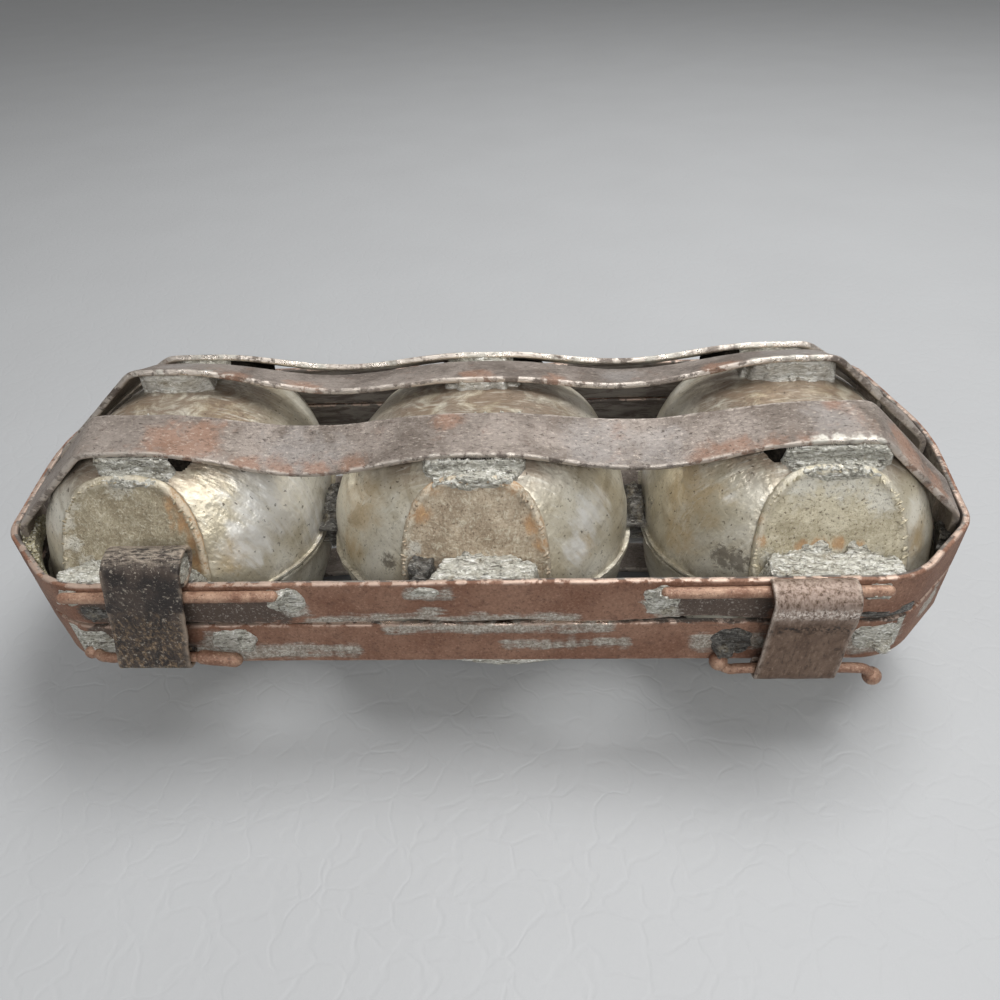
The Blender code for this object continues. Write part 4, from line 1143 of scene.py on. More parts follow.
def rounded_outline(corners):
    """A closed path through corners (x, y, bend radius)."""
    points = []
    count = len(corners)
    for index, (x, y, radius) in enumerate(corners):
        corner = Vector((x, y, 0))
        before = Vector((*corners[index - 1][:2], 0))
        after = Vector((*corners[(index + 1) % count][:2], 0))
        back = (before - corner).normalized()
        ahead = (after - corner).normalized()
        opening = back.angle(ahead)
        reach = radius / math.tan(opening / 2)
        centre = corner + (back + ahead).normalized() * (radius / math.sin(opening / 2))
        start = (corner + back * reach - centre).normalized()
        end = (corner + ahead * reach - centre).normalized()
        points += [centre + start.slerp(end, step / 12) * radius for step in range(13)]
    return points


def band_outline():
    return rounded_outline(BAND_CORNERS + [(-x, y, radius) for x, y, radius in reversed(BAND_CORNERS)])


def inward_of(points):
    """Unit normals pointing inside a closed outline that runs anticlockwise."""
    count = len(points)
    normals = []
    for index in range(count):
        along = points[(index + 1) % count] - points[index - 1]
        normals.append(Vector((-along.y, along.x, 0)).normalized())
    return normals


def band_inner_x(y):
    """Half the width inside the band's end sides at a depth y."""
    outline = band_outline()
    inner = [p + n * STRIP_THICKNESS for p, n in zip(outline, inward_of(outline))]
    reach = 0.0
    for first, second in zip(inner, inner[1:] + inner[:1]):
        low, high = sorted((first, second), key=lambda p: p.y)
        if first.x > 0 and low.y <= y <= high.y and high.y - low.y > 1e-9:
            reach = max(reach, blend(low.x, high.x, (y - low.y) / (high.y - low.y)))
    return reach


def rail_bend(x):
    """How far the front rail's face bends back at x."""
    return max(abs(x) - RAIL_STRAIGHT, 0.0) ** 2 / (2 * BAND_CORNERS[0][2])


def seam_opening(point, half):
    """How far the upper band's lower edge stands off along the front where it has sprung."""
    if half == "lower" or point.y > SEAM_DEPTH:
        return 0.0
    ragged = 0.8 * MM * max(0.0, wobble(point, 15 * MM, SEAM_SEED) + 0.1)
    return ragged + sum(amount * MM * math.exp(-(((point.x / MM) - middle) / reach) ** 2)
                        for middle, reach, amount in SEAM_GAPS)


def build_band(half):
    """The strip on edge, slightly wavy along its edges where it was hammered round."""
    name = f"{half}_frame_band"
    seed = 71 + HALVES[half]
    height = BAND_TOP - HALF_GAP
    path = resample(band_outline(), 1.0 * MM, closed=True)
    section = strip_section(height, STRIP_THICKNESS, 12)
    rings = []
    for point, inward in zip(path, inward_of(path)):
        ring = []
        for across, depth, edge in section:
            place = point + inward * depth + Vector((0, 0, HALF_GAP + across))
            lift = 0.22 * MM * wobble(point, 24 * MM, seed) + 0.12 * MM * wobble(place, 4 * MM, seed + 2)
            push = 0.14 * MM * wobble(place, 11 * MM, seed + 4)
            push += 0.06 * MM * wobble(place, 2.5 * MM, seed + 6)
            opening = seam_opening(point, half)
            raised = lift * edge + opening * (1.0 - smooth_step(0.0, 5 * MM, across))
            place += Vector((0, 0, raised)) + inward * max(push, 0.0)
            ring.append(to_world(place, half))
        rings.append(ring)
    marks = {"edge": [edge for *_, edge in section],
             "inner": [1.0 if depth > STRIP_THICKNESS / 2 else 0.0 for across, depth, edge in section]}
    mesh = mesh_from_rings(f"{name}_strip", rings, True, marks)
    paint(mesh, half, name)
    finish_piece(f"{name}_strip", mesh, BODY[half], "band", [name])


# Straps

def strap_height(x, crests, dip):
    """Height of one long edge of a strap's outer face at x."""
    center, end = crests
    outward = min(1.0, abs(x) / SHELL_PITCH)
    height = blend(center, end, 0.5 * (1.0 - math.cos(math.pi * outward)))
    if abs(x) < SHELL_PITCH:
        away = abs(x - SHELL_PITCH * round(x / SHELL_PITCH))
        share = max(0.0, (away - CREST_FLAT) / (SHELL_PITCH / 2 - CREST_FLAT))
        height -= dip * 0.5 * (1.0 - math.cos(math.pi * share))
    return height * MM


def strap_crests(half, row):
    if half == "lower" and row == "middle":
        return ((LEVEL_CREST, LEVEL_CREST), (LEVEL_CREST, LEVEL_CREST))
    return STRAPS[row]["crests"]


def strap_edge(y, crests, dip, bend_x):
    """One long edge of a strap's outer face, from lap to lap."""
    reach = band_inner_x(y) - SEAT_GAP
    steps = round(bend_x / MM)
    over = [Vector((x * MM, y, strap_height(x * MM, crests, dip))) for x in range(-steps, steps + 1)]
    ends = [Vector((reach, y, BAND_TOP + STRAP_SHOULDER)), Vector((reach, y, BAND_TOP - STRAP_LAP))]
    mirrored = [Vector((-p.x, p.y, p.z)) for p in reversed(ends)]
    return mirrored + over + ends


def strap_mesh(name, half, row, strap):
    """The strip with its hammered faces, burred edges and rounded bends."""
    seed = 91 + 5 * list(STRAPS).index(row) + HALVES[half]
    front_y = strap["front_y"] * MM
    edges = []
    for y, crests, dip in zip((front_y, front_y + strap["run"] * MM), strap_crests(half, row), strap["dips"]):
        path = resample(strap_edge(y, crests, dip, strap["bend_x"] * MM), 0.9 * MM)
        edges.append(soften(path, 8))
    count = min(len(edges[0]), len(edges[1]))
    front, rear = ([edge[round(i * (len(edge) - 1) / (count - 1))] for i in range(count)] for edge in edges)
    width = (rear[count // 2] - front[count // 2]).length
    section = strip_section(width, STRIP_THICKNESS, 12)
    rings = []
    for index in range(count):
        along = heading(front, index).normalized()
        across_way = (rear[index] - front[index]).normalized()
        inward = across_way.cross(along).normalized()
        middle = front[index].lerp(rear[index], 0.5)
        over = smooth_step(BAND_TOP, BAND_TOP + 8 * MM, middle.z)
        sway = across_way * (0.4 * MM * wobble(middle, 38 * MM, seed) * over)
        ring = []
        for across, depth, edge in section:
            place = front[index].lerp(rear[index], across / width) + inward * depth
            burr = 0.12 * MM * wobble(place, 2.2 * MM, seed + 1) + 0.18 * MM * wobble(place, 8 * MM, seed + 2)
            push = 0.10 * MM * abs(wobble(place, 6 * MM, seed + 3))
            side = 1 if across > width / 2 else -1
            place += sway + across_way * (burr * edge * side) + inward * push
            ring.append(to_world(place, half))
        rings.append(ring)
    return mesh_from_rings(name, rings, False, {"edge": [edge for *_, edge in section]})


def build_strap(half, row):
    name = f"{half}_strap_{row}"
    mesh = strap_mesh(f"{name}_strip", half, row, STRAPS[row])
    paint(mesh, half, name)
    finish_piece(f"{name}_strip", mesh, BODY[half], "strap", [name])


# Solder: how deep a crust's base lies in what it is on, and how round its torn outline is
BURIED = 0.6 * MM
TORN_FULLNESS = 2.6


def torn(u, v, place, size, seed):
    """1 well inside a crust, falling to 0 along its torn round outline; size is its width and depth."""
    across = (abs(2 * u - 1) ** TORN_FULLNESS + abs(2 * v - 1) ** TORN_FULLNESS) ** (1 / TORN_FULLNESS)
    inside = (1.0 - across) * min(size) / 2
    inside -= (0.5 + 0.8 * wobble(place, 2.6 * MM, seed)) * min(0.2 * min(size), 1.3 * MM)
    inside -= 0.3 * MM * (0.5 + 0.5 * wobble(place, 0.9 * MM, seed + 1))
    return smooth_step(-0.2 * MM, 0.6 * MM, inside)


def wrinkled(place, seed):
    """Height of the folds and flakes of a crust, 0 to about 1."""
    fold = 1.0 - abs(wobble(Vector((place.x * 0.6, place.y, place.z * 1.4)), 1.9 * MM, seed)) * 2.2
    fine = 0.5 + 0.5 * wobble(place, 0.8 * MM, seed + 2)
    return 0.6 * max(fold, 0.0) + 0.4 * fine


def before_plate(point):
    """The point, or the place in the plate's thickness before it when it lies behind the plate."""
    return Vector((point.x, min(point.y, plate_y(point.z) + SHEET / 2), point.z))


def crust_mesh(name, half, grid, surface, height, buried=BURIED, kept=lambda point: point):
    """A closed crust on a surface, with a grid of (columns, rows). surface(u, v) gives a place and
    its outward way, height(u, v, place) the crust's height over it and how flaky it is there, and
    kept(point) where a point may be."""
    columns, rows = grid
    bm = bmesh.new()
    flaky = bm.verts.layers.float.new("flaky")
    top = []
    base = []
    for row in range(rows + 1):
        top.append([])
        base.append([])
        for column in range(columns + 1):
            u = column / columns
            v = row / rows
            place, outward = surface(u, v)
            rise, flakes = height(u, v, place)
            vert = bm.verts.new(to_world(kept(place + outward * rise), half))
            vert[flaky] = flakes
            top[-1].append(vert)
            base[-1].append(bm.verts.new(to_world(kept(place - outward * buried), half)))
    bridge(bm, top)
    bridge(bm, base)
    for row in (0, rows):
        bridge(bm, [top[row], base[row]])
    for column in (0, columns):
        bridge(bm, [[line[column] for line in layer] for layer in (top, base)])
    return close_mesh(name, bm)


def finish_crust(name, mesh, half, look, flake_size, density, seed, nodes=()):
    """Scatters flakes over a crust and puts it in the scene."""
    sizes = {"Size": flake_size, "Density": density, "Seed": seed, "Material": FINISHES[look]}
    flaked = shaped(name, mesh, FLAKE_SHAPING, sizes)
    finish_piece(name, flaked, BODY[half], look, nodes, 70)


def grid_of(size, step):
    """Columns and rows for a crust of a width and depth."""
    return [max(10, round(side / step)) for side in size]


# Pads: the middle of the fan of rays that finds their seats, in millimetres, and the angles that
# they cover
PAD_FANS = {
    "front": {"y": 30.0, "z": 8.0, "angles": (78.0, 126.0)},
    "middle": {"y": 56.0, "z": 0.0, "angles": (76.0, 104.0)},
    "rear": {"y": 60.0, "z": 0.0, "angles": (38.0, 69.0)},
}
RAY_START = 60
PLATE_RAY = 24
PAD_RADIUS = 30
# A seat nearer to the plate than this lies on the plate
PLATE_NEAR = 1.5 * MM
# How each visible pad differs: ends across the shell, last angle, thickness past the strap, finish
PADS = {
    ("upper", "front", "left"): ((-8.5, 13.0), 125.5, 0.7, "solder"),
    ("upper", "front", "center"): ((-12.6, 12.8), 130.0, 1.0, "solder"),
    ("upper", "front", "right"): ((-12.5, 14.5), 127.0, 0.8, "solder"),
    ("upper", "middle", "left"): ((-9.5, 11.5), 103.0, 0.8, "solder_smooth"),
    ("upper", "middle", "center"): ((-10.5, 12.0), 103.0, 0.7, "solder_smooth"),
    ("upper", "middle", "right"): ((-14.0, 12.0), 104.5, 0.9, "solder_smooth"),
}
PLAIN_PAD = ((-11.0, 11.0), None, 0.7, "solder")
PAD_FLAKES = {"front": 900000.0, "middle": 250000.0, "rear": 250000.0}
# Black fill under a strap on both sides of a pad, painted shade with some dirt: its ends across the shell
SHADE_AND_DIRT_PADS = {
    ("front", "left"): (-13.0, 22.0),
    ("front", "center"): (-20.0, 22.0),
    ("front", "right"): (-22.0, 13.0),
    ("rear", "left"): (2.0, 18.0),
    ("rear", "center"): (-16.0, 20.0),
    ("rear", "right"): (-19.0, 0.0),
}


def build_pad(half, row, side, outer_side, shell, dirty=False):
    """Solder between a shell's crown and a strap that swells out past the strap's edges, or the black fill
    there, painted shade with some dirt, which thins out away from the pad."""
    name = f"{half}_solder_{row}_{side}"
    seed = 131 + 7 * list(STRAPS).index(row) + 3 * SIDES[side] + HALVES[half]
    ends, last_angle, skirt_mm, look = PADS.get((half, row, side), PLAIN_PAD)
    fan = PAD_FANS[row]
    if dirty:
        ends, last_angle, skirt_mm = SHADE_AND_DIRT_PADS[row, side], None, 0.0
    first, last = (math.radians(angle) for angle in (fan["angles"][0], last_angle or fan["angles"][1]))
    low, high = (end * MM for end in ends)
    fan_y = fan["y"] * MM
    fan_z = fan["z"] * MM
    strap = STRAPS[row]
    front_y = strap["front_y"] * MM
    run = strap["run"] * MM
    size = (high - low, (last - first) * PAD_RADIUS * MM)
    lines = list(zip(strap_crests(half, row), strap["dips"]))
    slant_run = band_inner_x(front_y) - strap["bend_x"] * MM

    def way_at(v):
        angle = blend(first, last, v)
        return Vector((0, math.cos(angle), math.sin(angle)))

    def surface(u, v):
        way = way_at(v)
        middle = Vector((outer_side * SHELL_PITCH + blend(low, high, u), fan_y, fan_z))
        hit = shell.ray_cast(middle + way * RAY_START * MM, -way)[0]
        place = hit if hit else middle + way * PLATE_RAY * MM
        if row == "front" and place.y < plate_y(place.z) + PLATE_NEAR:
            place = Vector((place.x, plate_y(place.z), place.z))
        return place, way

    def strap_underside(x):
        """Height of the strap's underside at its front and rear edges."""
        slant = min(1.0, max(0.0, abs(x) - strap["bend_x"] * MM) / slant_run)
        return [blend(strap_height(x, *line), BAND_TOP, slant) - STRIP_THICKNESS - min(slant, 0.1) * 8 * MM
                for line in lines]

    def height(u, v, place):
        way = way_at(v)
        front, rear = strap_underside(place.x)
        slope = (rear - front) / run
        seat = (place - Vector((place.x, fan_y, fan_z))).length
        start = front + (fan_y - front_y) * slope - fan_z
        under = start / (way.z - slope * way.y)
        under_y = fan_y + under * way.y
        past = max(front_y - under_y, under_y - front_y - run, 0.0)
        fill = max(under - seat, 0.0) + 0.15 * MM
        if dirty:
            reach = blend(0.85, 0.05, smooth_step(0.3, 1.0, abs(2 * u - 1)))
            reach += 0.06 * wobble(place, 3 * MM, seed)
            solid = smooth_step(reach, reach - 0.08, v) * smooth_step(0.6 * MM, 0.0, past)
        else:
            solid = torn(u, max(v, 0.5), place, size, seed)
        skirt = skirt_mm * MM * (0.5 + 0.8 * wrinkled(place, seed))
        held = 1.0 - smooth_step(0.0, 1.3 * MM, past)
        rise = blend(skirt, fill, held)
        rise += (1.0 - held) * 0.35 * MM * wobble(place, 3 * MM, seed + 4)
        return rise * solid - 0.35 * MM * (1.0 - solid), (1.0 if past > 0.1 * MM and solid > 0.6 else 0.0)

    def outside(point):
        """The point, or the nearest place in the shell's sheet when it lies in the cavity."""
        if point.y < plate_y(point.z) + SHEET:
            return point
        seat, normal = shell.find_nearest(point)[:2]
        outward = normal if normal.z > 0 else -normal
        return point + outward * max((seat - point).dot(outward) - 0.4 * MM, 0.0)

    # The black fill stands for the shadow under the strap: painted shade with some dirt.
    if dirty:
        mesh = crust_mesh(f"{name}_dirt", half, (80, 40), surface, height, kept=outside)
        finish_piece(f"{name}_dirt", mesh, BODY[half], "grime_and_shade", (), 70)
    else:
        mesh = crust_mesh(f"{name}_crust", half, (62, 60), surface, height, kept=outside)
        finish_crust(f"{name}_crust", mesh, half, look, 0.75 * MM, PAD_FLAKES[row], seed, [name])


# Crusts between the front rail and the plates: ends across the plate, height of the join, climb, finish
LEDGES = {
    ("upper", "left"): [((-16.8, 16.8), 12.4, 1.8, "solder")],
    ("upper", "center"): [((-11.5, 16.0), 12.4, 1.8, "solder"), ((-16.6, -7.0), 12.2, 2.0, "solder_dark")],
    ("upper", "right"): [((-16.5, 16.6), 12.6, 3.4, "solder")],
}
PLAIN_LEDGE = [((-15.0, 15.0), 13.0, 2.0, "solder")]
LEDGE_DEPTH = 6.0 * MM


def build_ledge(half, side, outer_side):
    """The crusts that bridge the front rail and a plate."""
    node = f"{half}_rail_solder_{side}"
    for index, spec in enumerate(LEDGES.get((half, side), PLAIN_LEDGE)):
        seed = 171 + 3 * SIDES[side] + HALVES[half] + 9 * index
        build_ledge_crust(f"{node}_crust_{index + 1}", half, outer_side, spec, seed, () if index else (node,))


def build_ledge_crust(name, half, outer_side, spec, seed, nodes):
    """Solder from the rail's top to a plate, that runs up the plate in drips."""
    ends, join, climb, look = spec
    low, high = (end * MM for end in ends)
    join *= MM
    climb *= MM
    rail = Vector((0, 1.1 * MM, BAND_TOP - 0.5 * MM))
    foot, head = (Vector((0, plate_y(z), z)) for z in (join, join + climb))
    size = (high - low, (foot - rail).length + (head - foot).length)
    turn_at = (foot - rail).length / size[1]
    up = Vector((0, -0.22, 1.0)).normalized()
    off_plate = Vector((0, -1.0, PLATE_LEAN)).normalized()

    def surface(u, v):
        x = outer_side * SHELL_PITCH + blend(low, high, u)
        if v < turn_at:
            place = (rail + Vector((0, rail_bend(x), 0))).lerp(foot, v / turn_at)
        else:
            place = foot.lerp(head, (v - turn_at) / (1 - turn_at))
        bend = smooth_step(turn_at - 0.18, turn_at + 0.12, v)
        return Vector((x, place.y, place.z)), up.lerp(off_plate, bend).normalized()

    def height(u, v, place):
        from_end = min(u, 1 - u)
        sides = from_end * size[0] - 3.0 * MM * (0.5 + 0.9 * wobble(place, 4 * MM, seed))
        solid = smooth_step(-0.3 * MM, 0.9 * MM, sides)
        drip = 0.5 + 0.9 * wobble(Vector((place.x, 0, place.z * 0.25)), 2.6 * MM, seed + 3)
        low_end = smooth_step(0.0, 0.3, from_end)
        top = blend(turn_at, 0.97, min(1.0, max(0.0, drip))) * blend(0.6, 1.0, low_end)
        whole = min(solid, 1.0 - smooth_step(top - 0.12, top, v))
        body = 0.2 * MM + 0.8 * MM * wrinkled(place, seed) + 0.5 * MM * wobble(place, 4 * MM, seed + 5)
        sunk = blend(LEDGE_DEPTH, 0.4 * MM, smooth_step(turn_at - 0.04, turn_at + 0.1, v))
        rise = max(body, 0.1 * MM) * smooth_step(0.0, 0.06, v)
        return blend(-sunk, rise, whole), (1.0 if whole > 0.7 else 0.0)

    mesh = crust_mesh(name, half, (100, 44), surface, height, LEDGE_DEPTH + 0.6 * MM, before_plate)
    finish_crust(name, mesh, half, look, 0.5 * MM, 500000.0, seed, nodes)


# Crusts on the front rails: half, x range, z range, finish, seed, and the wire whose end each
# covers, as its x range, y, z and radius
RAIL_PATCHES = {
    "catch_solder_left_inner":
        ("upper", (-47.5, -37), (3.5, 12.6), "solder", 201, (-48, -43.5, 1.7, 11.3, 1.4)),
    "catch_solder_left_outer":
        ("upper", (-95, -88.5), (6, 12.6), "solder", 203, (-95, -91, 1.7, 11.3, 1.4)),
    "catch_solder_right_inner":
        ("upper", (36.5, 46), (1.5, 12.4), "solder", 205, (41, 45, 1.7, 11.3, 1.4)),
    "catch_solder_right_outer":
        ("upper", (83, 91.5), (7, 12.6), "solder", 207, (83.5, 89, 1.7, 11.3, 1.4)),
    "rail_crust_left": ("upper", (-92, -83), (1, 8), "solder_dark", 209, None),
    "rail_crust_middle": ("upper", (-15, -6), (8.5, 12.4), "solder", 211, None),
    "rail_crust_right": ("upper", (64.5, 98), (0.8, 3.4), "solder_dark", 212, None),
    "pivot_solder_left_inner": ("lower", (51, 64), (0.6, 9.5), "solder", 213, (53, 55, 1.6, 5.5, 1.2)),
    "pivot_solder_left_outer": ("lower", (85, 97), (1, 11), "solder", 215, (91, 93, 1.5, 7.0, 1.2)),
    "pivot_solder_right_inner":
        ("lower", (-64, -53), (1.5, 11.5), "solder_dark", 217, (-58, -56, 1.6, 9.0, 1.2)),
    "pivot_solder_right_outer":
        ("lower", (-97, -84), (0.8, 10.5), "solder", 219, (-94, -92, 1.5, 9.0, 1.2)),
}

# Heaps of solder in the bands' corners: half, x range, y range, level, rise, finish and seed
LUMPS = {
    "tip_solder_upper_left": ("upper", (-116, -101), (9, 31), 7.5, 4.5, "solder_khaki", 231),
    "tip_solder_upper_right": ("upper", (106, 113), (17, 27), 6.0, 2.5, "solder_dark", 233),
    "tip_solder_lower_left": ("lower", (-113, -104), (12, 26), 6.5, 2.5, "solder_dark", 235),
    "tip_solder_lower_right": ("lower", (104, 113), (12, 26), 6.5, 2.5, "solder_dark", 237),
}


def build_rail_patch(name, half, x_range, z_range, look, seed, wire):
    """A crust on the front rail's face."""
    low, high = (x * MM for x in x_range)
    bottom, top = (z * MM for z in z_range)
    size = (high - low, top - bottom)

    def surface(u, v):
        x = blend(low, high, u)
        return Vector((x, rail_bend(x), blend(bottom, top, v))), Vector((0, -1, 0))

    def height(u, v, place):
        solid = torn(u, v, place, size, seed)
        rise = 0.15 * MM + 0.6 * MM * wrinkled(place, seed)
        if wire:
            wire_low, wire_high, reach, wire_z, radius = (number * MM for number in wire)
            over = 1.0 - smooth_step(0.0, 2.2 * MM, max(wire_low - place.x, place.x - wire_high, 0.0))
            near = max(0.0, 1.0 - ((place.z - wire_z) / (radius * 1.9)) ** 2) ** 0.5
            covering = reach + radius * 0.8 + 0.4 * MM * wobble(place, 2 * MM, seed + 4)
            rise = max(rise, covering * near * over)
        return rise * solid - 0.3 * MM * (1.0 - solid), (1.0 if solid > 0.7 else 0.0)

    mesh = crust_mesh(name, half, grid_of(size, 0.4 * MM), surface, height, 0.5 * MM)
    finish_crust(name, mesh, half, look, 0.55 * MM, 500000.0, seed)


def shell_side_x(y):
    """How far out an outer shell's side reaches before its widest place."""
    share = min(1.0, max(0.0, (y - PLATE_FOOT_Y) / (SHELL_WIDEST_Y - PLATE_FOOT_Y)))
    return SHELL_PITCH + blend(PLATE_HALF_WIDTH, END_SHELL_OUTER_HALF_WIDTH, 1.0 - (1.0 - share) ** 2.5)


def build_lump(name, half, x_range, y_range, floor_z, rise_mm, look, seed):
    """A heap of solder in a corner, on a level at floor_z."""
    size = ((x_range[1] - x_range[0]) * MM, (y_range[1] - y_range[0]) * MM)

    def surface(u, v):
        y = blend(*y_range, v) * MM
        limit = band_inner_x(y) - 0.2 * MM
        x = blend(*x_range, u) * MM
        if abs(x) > SHELL_PITCH:
            x = math.copysign(max(abs(x), shell_side_x(y)), x)
        return Vector((max(-limit, min(limit, x)), y, floor_z * MM)), Vector((0, 0, 1))

    def height(u, v, place):
        solid = torn(u, v, place, size, seed)
        rise = rise_mm * MM * (0.55 + 0.45 * wrinkled(place, seed) + 0.4 * wobble(place, 4 * MM, seed + 5))
        return rise * solid - 0.3 * MM * (1.0 - solid), (1.0 if solid > 0.5 else 0.0)

    mesh = crust_mesh(name, half, grid_of(size, 0.45 * MM), surface, height, 1.0 * MM)
    finish_crust(name, mesh, half, look, 0.7 * MM, 400000.0, seed)


def build_small_solder():
    """Crusts round the wires' ends, in the bands' corners and between the shells."""
    for name, spec in RAIL_PATCHES.items():
        build_rail_patch(name, *spec)
    for name, spec in LUMPS.items():
        build_lump(name, *spec)
    for side, sign in (("left", -1), ("right", 1)):
        middle = sign * SHELL_PITCH / MM / 2
        for half in HALVES:
            seed = 241 + sign + 5 * HALVES[half]
            build_lump(f"shell_gap_solder_{half}_{side}", half, (middle - 3.1, middle + 3.1), (31, 48),
                       2.5, 4.0, "solder_dark", seed)


# Wires

def build_wire(name, body, points, radius, bead, seed, nodes=None):
    """A worn wire through points in millimetres of the upper half frame."""
    line = line_mesh(name, [to_world(Vector(point) * MM, "upper") for point in points])
    sizes = {"Radius": radius, "Bead": bead, "Wear": 0.3 * MM, "Seed": float(seed),
             "Material": FINISHES["wire"]}
    mesh = shaped(f"{name}_rod", line, WIRE_SHAPING, sizes)
    finish_piece(f"{name}_rod", mesh, body, "wire", [name] if nodes is None else nodes, 60)


def build_bead(name, body, points, radius, look, seed):
    """A bead of solder, or a black bead of painted shade, along points in millimetres of the upper half
    frame.
    """
    line = line_mesh(name, [to_world(Vector(point) * MM, "upper") for point in curve_through(points)])
    sizes = {"Radius": radius, "Bead": radius * 0.9, "Wear": 0.9 * MM, "Seed": float(seed),
             "Material": FINISHES[look]}
    mesh = shaped(name, line, WIRE_SHAPING, sizes)
    finish_piece(name, mesh, body, look, (), 60)


def curve_through(points, steps=8):
    """A smooth path through points."""
    path = []
    last = len(points) - 1
    for index in range(last):
        before, start, end, after = (Vector(points[min(max(index + k, 0), last)]) for k in (-1, 0, 1, 2))
        for step in range(steps):
            t = step / steps
            bend = (end - before) * t + (2 * before - 5 * start + 4 * end - after) * t * t
            bend += (3 * start - before - 3 * end + after) * t ** 3
            path.append(start + bend * 0.5)
    return path + [Vector(points[-1])]


# Solder under the lower rail, and black beads behind the open seam that are painted shade in the gap:
# body, points and finish
BEAD_RADIUS = 1.4 * MM
BEADS = {
    "rail_bead_bottom":
        ("lower_half", [(-6, 1.6, -12.2), (1, 1.3, -13.4), (9, 1.2, -13.7), (19, 1.6, -12.4)], "solder"),
    "seam_dirt_left":
        ("upper_half", [(-93, 3.4, 2.2), (-80, 3.3, 2.1), (-60, 3.3, 2.1), (-48, 3.4, 2.3)], "grime_and_shade"),
    "seam_dirt_right":
        ("upper_half", [(34, 3.4, 2.3), (50, 3.3, 2.1), (75, 3.3, 2.1), (93, 3.6, 2.1)], "grime_and_shade"),
}


def build_beads():
    """The beads of the table, each with its own seed."""
    for index, (name, (body, points, look)) in enumerate(BEADS.items()):
        build_bead(name, body, points, BEAD_RADIUS, look, 11 + index)


def build_wires():
    """Catch wires along the top of the upper rail, pivot wires along the bottom of the lower one."""
    catch_y = CATCH_Y / MM
    catch_z = CATCH_Z / MM
    for index, (side, clip) in enumerate(CLIPS.items()):
        start, end = (x / MM for x in clip["catch"])
        points = []
        for step in range(CATCH_STEPS + 1):
            x = blend(start, end, step / CATCH_STEPS)
            sag = 0.12 * wobble(Vector((x, 0, 0)), 14.0, 5 + index)
            points.append((x, catch_y, catch_z + sag))
        build_wire(f"catch_wire_{side}", "upper_half", points, WIRE_RADIUS - 0.1 * MM, WIRE_RADIUS * 0.9,
                   3 + index)
    pivot = {side: to_half(SWINGS[f"clip_{side}_swing"], "upper") / MM for side in CLIPS}
    y, z = pivot["left"].y, pivot["left"].z
    left = curve_through([(-91.8, -1.5, z + 0.4), (-90.4, -2.0, z + 0.2), (-87, y, z), (-75, y, z),
                          (-65, y, z), (-61, y - 0.1, z - 0.5), (-57.4, y + 0.2, z - 1.3)])
    build_wire("pivot_wire_left", "lower_half", left, PIVOT_RADIUS, 1.7 * MM, 7)
    stub = [(-64.8, y, z + 0.1), (-62, y - 0.2, z - 0.2), (-59.5, y, z - 0.8), (-57.2, y + 0.2, z - 1.4)]
    build_wire("pivot_wire_left_end", "lower_half", curve_through(stub), 1.7 * MM, 1.6 * MM, 8, [])
    y, z = pivot["right"].y, pivot["right"].z
    right = curve_through([(56.0, -1.5, z + 0.6), (56.9, -1.9, z - 0.7), (58.8, y + 0.2, z - 0.6),
                           (61.5, y, z), (75, y, z), (86, y, z), (89.5, y, z - 0.7),
                           (91.6, y + 0.2, z - 3.2)])
    build_wire("pivot_wire_right", "lower_half", right, PIVOT_RADIUS, 2.15 * MM, 9)


# Clips

def arc(centre, radius, start, end, steps):
    """Points (y, z) along an arc, angles in degrees, 0 to the rear and 90 up."""
    points = []
    for step in range(steps + 1):
        angle = math.radians(blend(start, end, step / steps))
        points.append(Vector((0, centre[0] + radius * math.cos(angle), centre[1] + radius * math.sin(angle))))
    return points


def build_clip(side, clip):
    """The sheet strip: rolled or hooked at its top, folded round its pivot wire at the bottom."""
    name = f"clip_{side}"
    seed = 301 + SIDES[side]
    pivot = SWINGS[f"{name}_swing"]
    roll_height = PARTING_Z + BAND_TOP + clip["roll_rise"] - pivot.z
    roll_centre = (FRONT_Y + clip["roll_y"] - pivot.y, roll_height)
    path = arc(roll_centre, clip["roll_radius"] - CLIP_SHEET / 2, clip["roll_start"], 180, 44)
    path += arc((0, 0), FOLD_OUTER - CLIP_SHEET / 2, 180, 400, 24)
    path = resample(path, 0.45 * MM)
    width = clip["width"]
    lean = clip["lean"] / roll_height
    section = strip_section(width, CLIP_SHEET, 34)
    rings = []
    for index, point in enumerate(path):
        along = heading(path, index).normalized()
        outward = Vector((0, along.z, -along.y))
        ring = []
        for across, depth, edge in section:
            place = point + Vector((across - width / 2 + lean * point.z, 0, 0))
            ragged = 0.28 * MM * wobble(place, 5 * MM, seed) + 0.12 * MM * wobble(place, 1.5 * MM, seed + 1)
            place.x += ragged * edge * (1 if across > width / 2 else -1)
            dent = 0.10 * MM * wobble(place, 4 * MM, seed + 2)
            place += outward * (depth - CLIP_SHEET / 2 + dent)
            ring.append(pivot + place)
        rings.append(ring)
    mesh = mesh_from_rings(f"{name}_sheet", rings, False, {"edge": [edge for *_, edge in section]})
    finish_piece(f"{name}_sheet", mesh, name, name, [name])
    if side == "left":
        middle = pivot + Vector((clip["lean"], *roll_centre))
        build_roll_filling(middle, clip["roll_radius"] - CLIP_SHEET, width, seed)


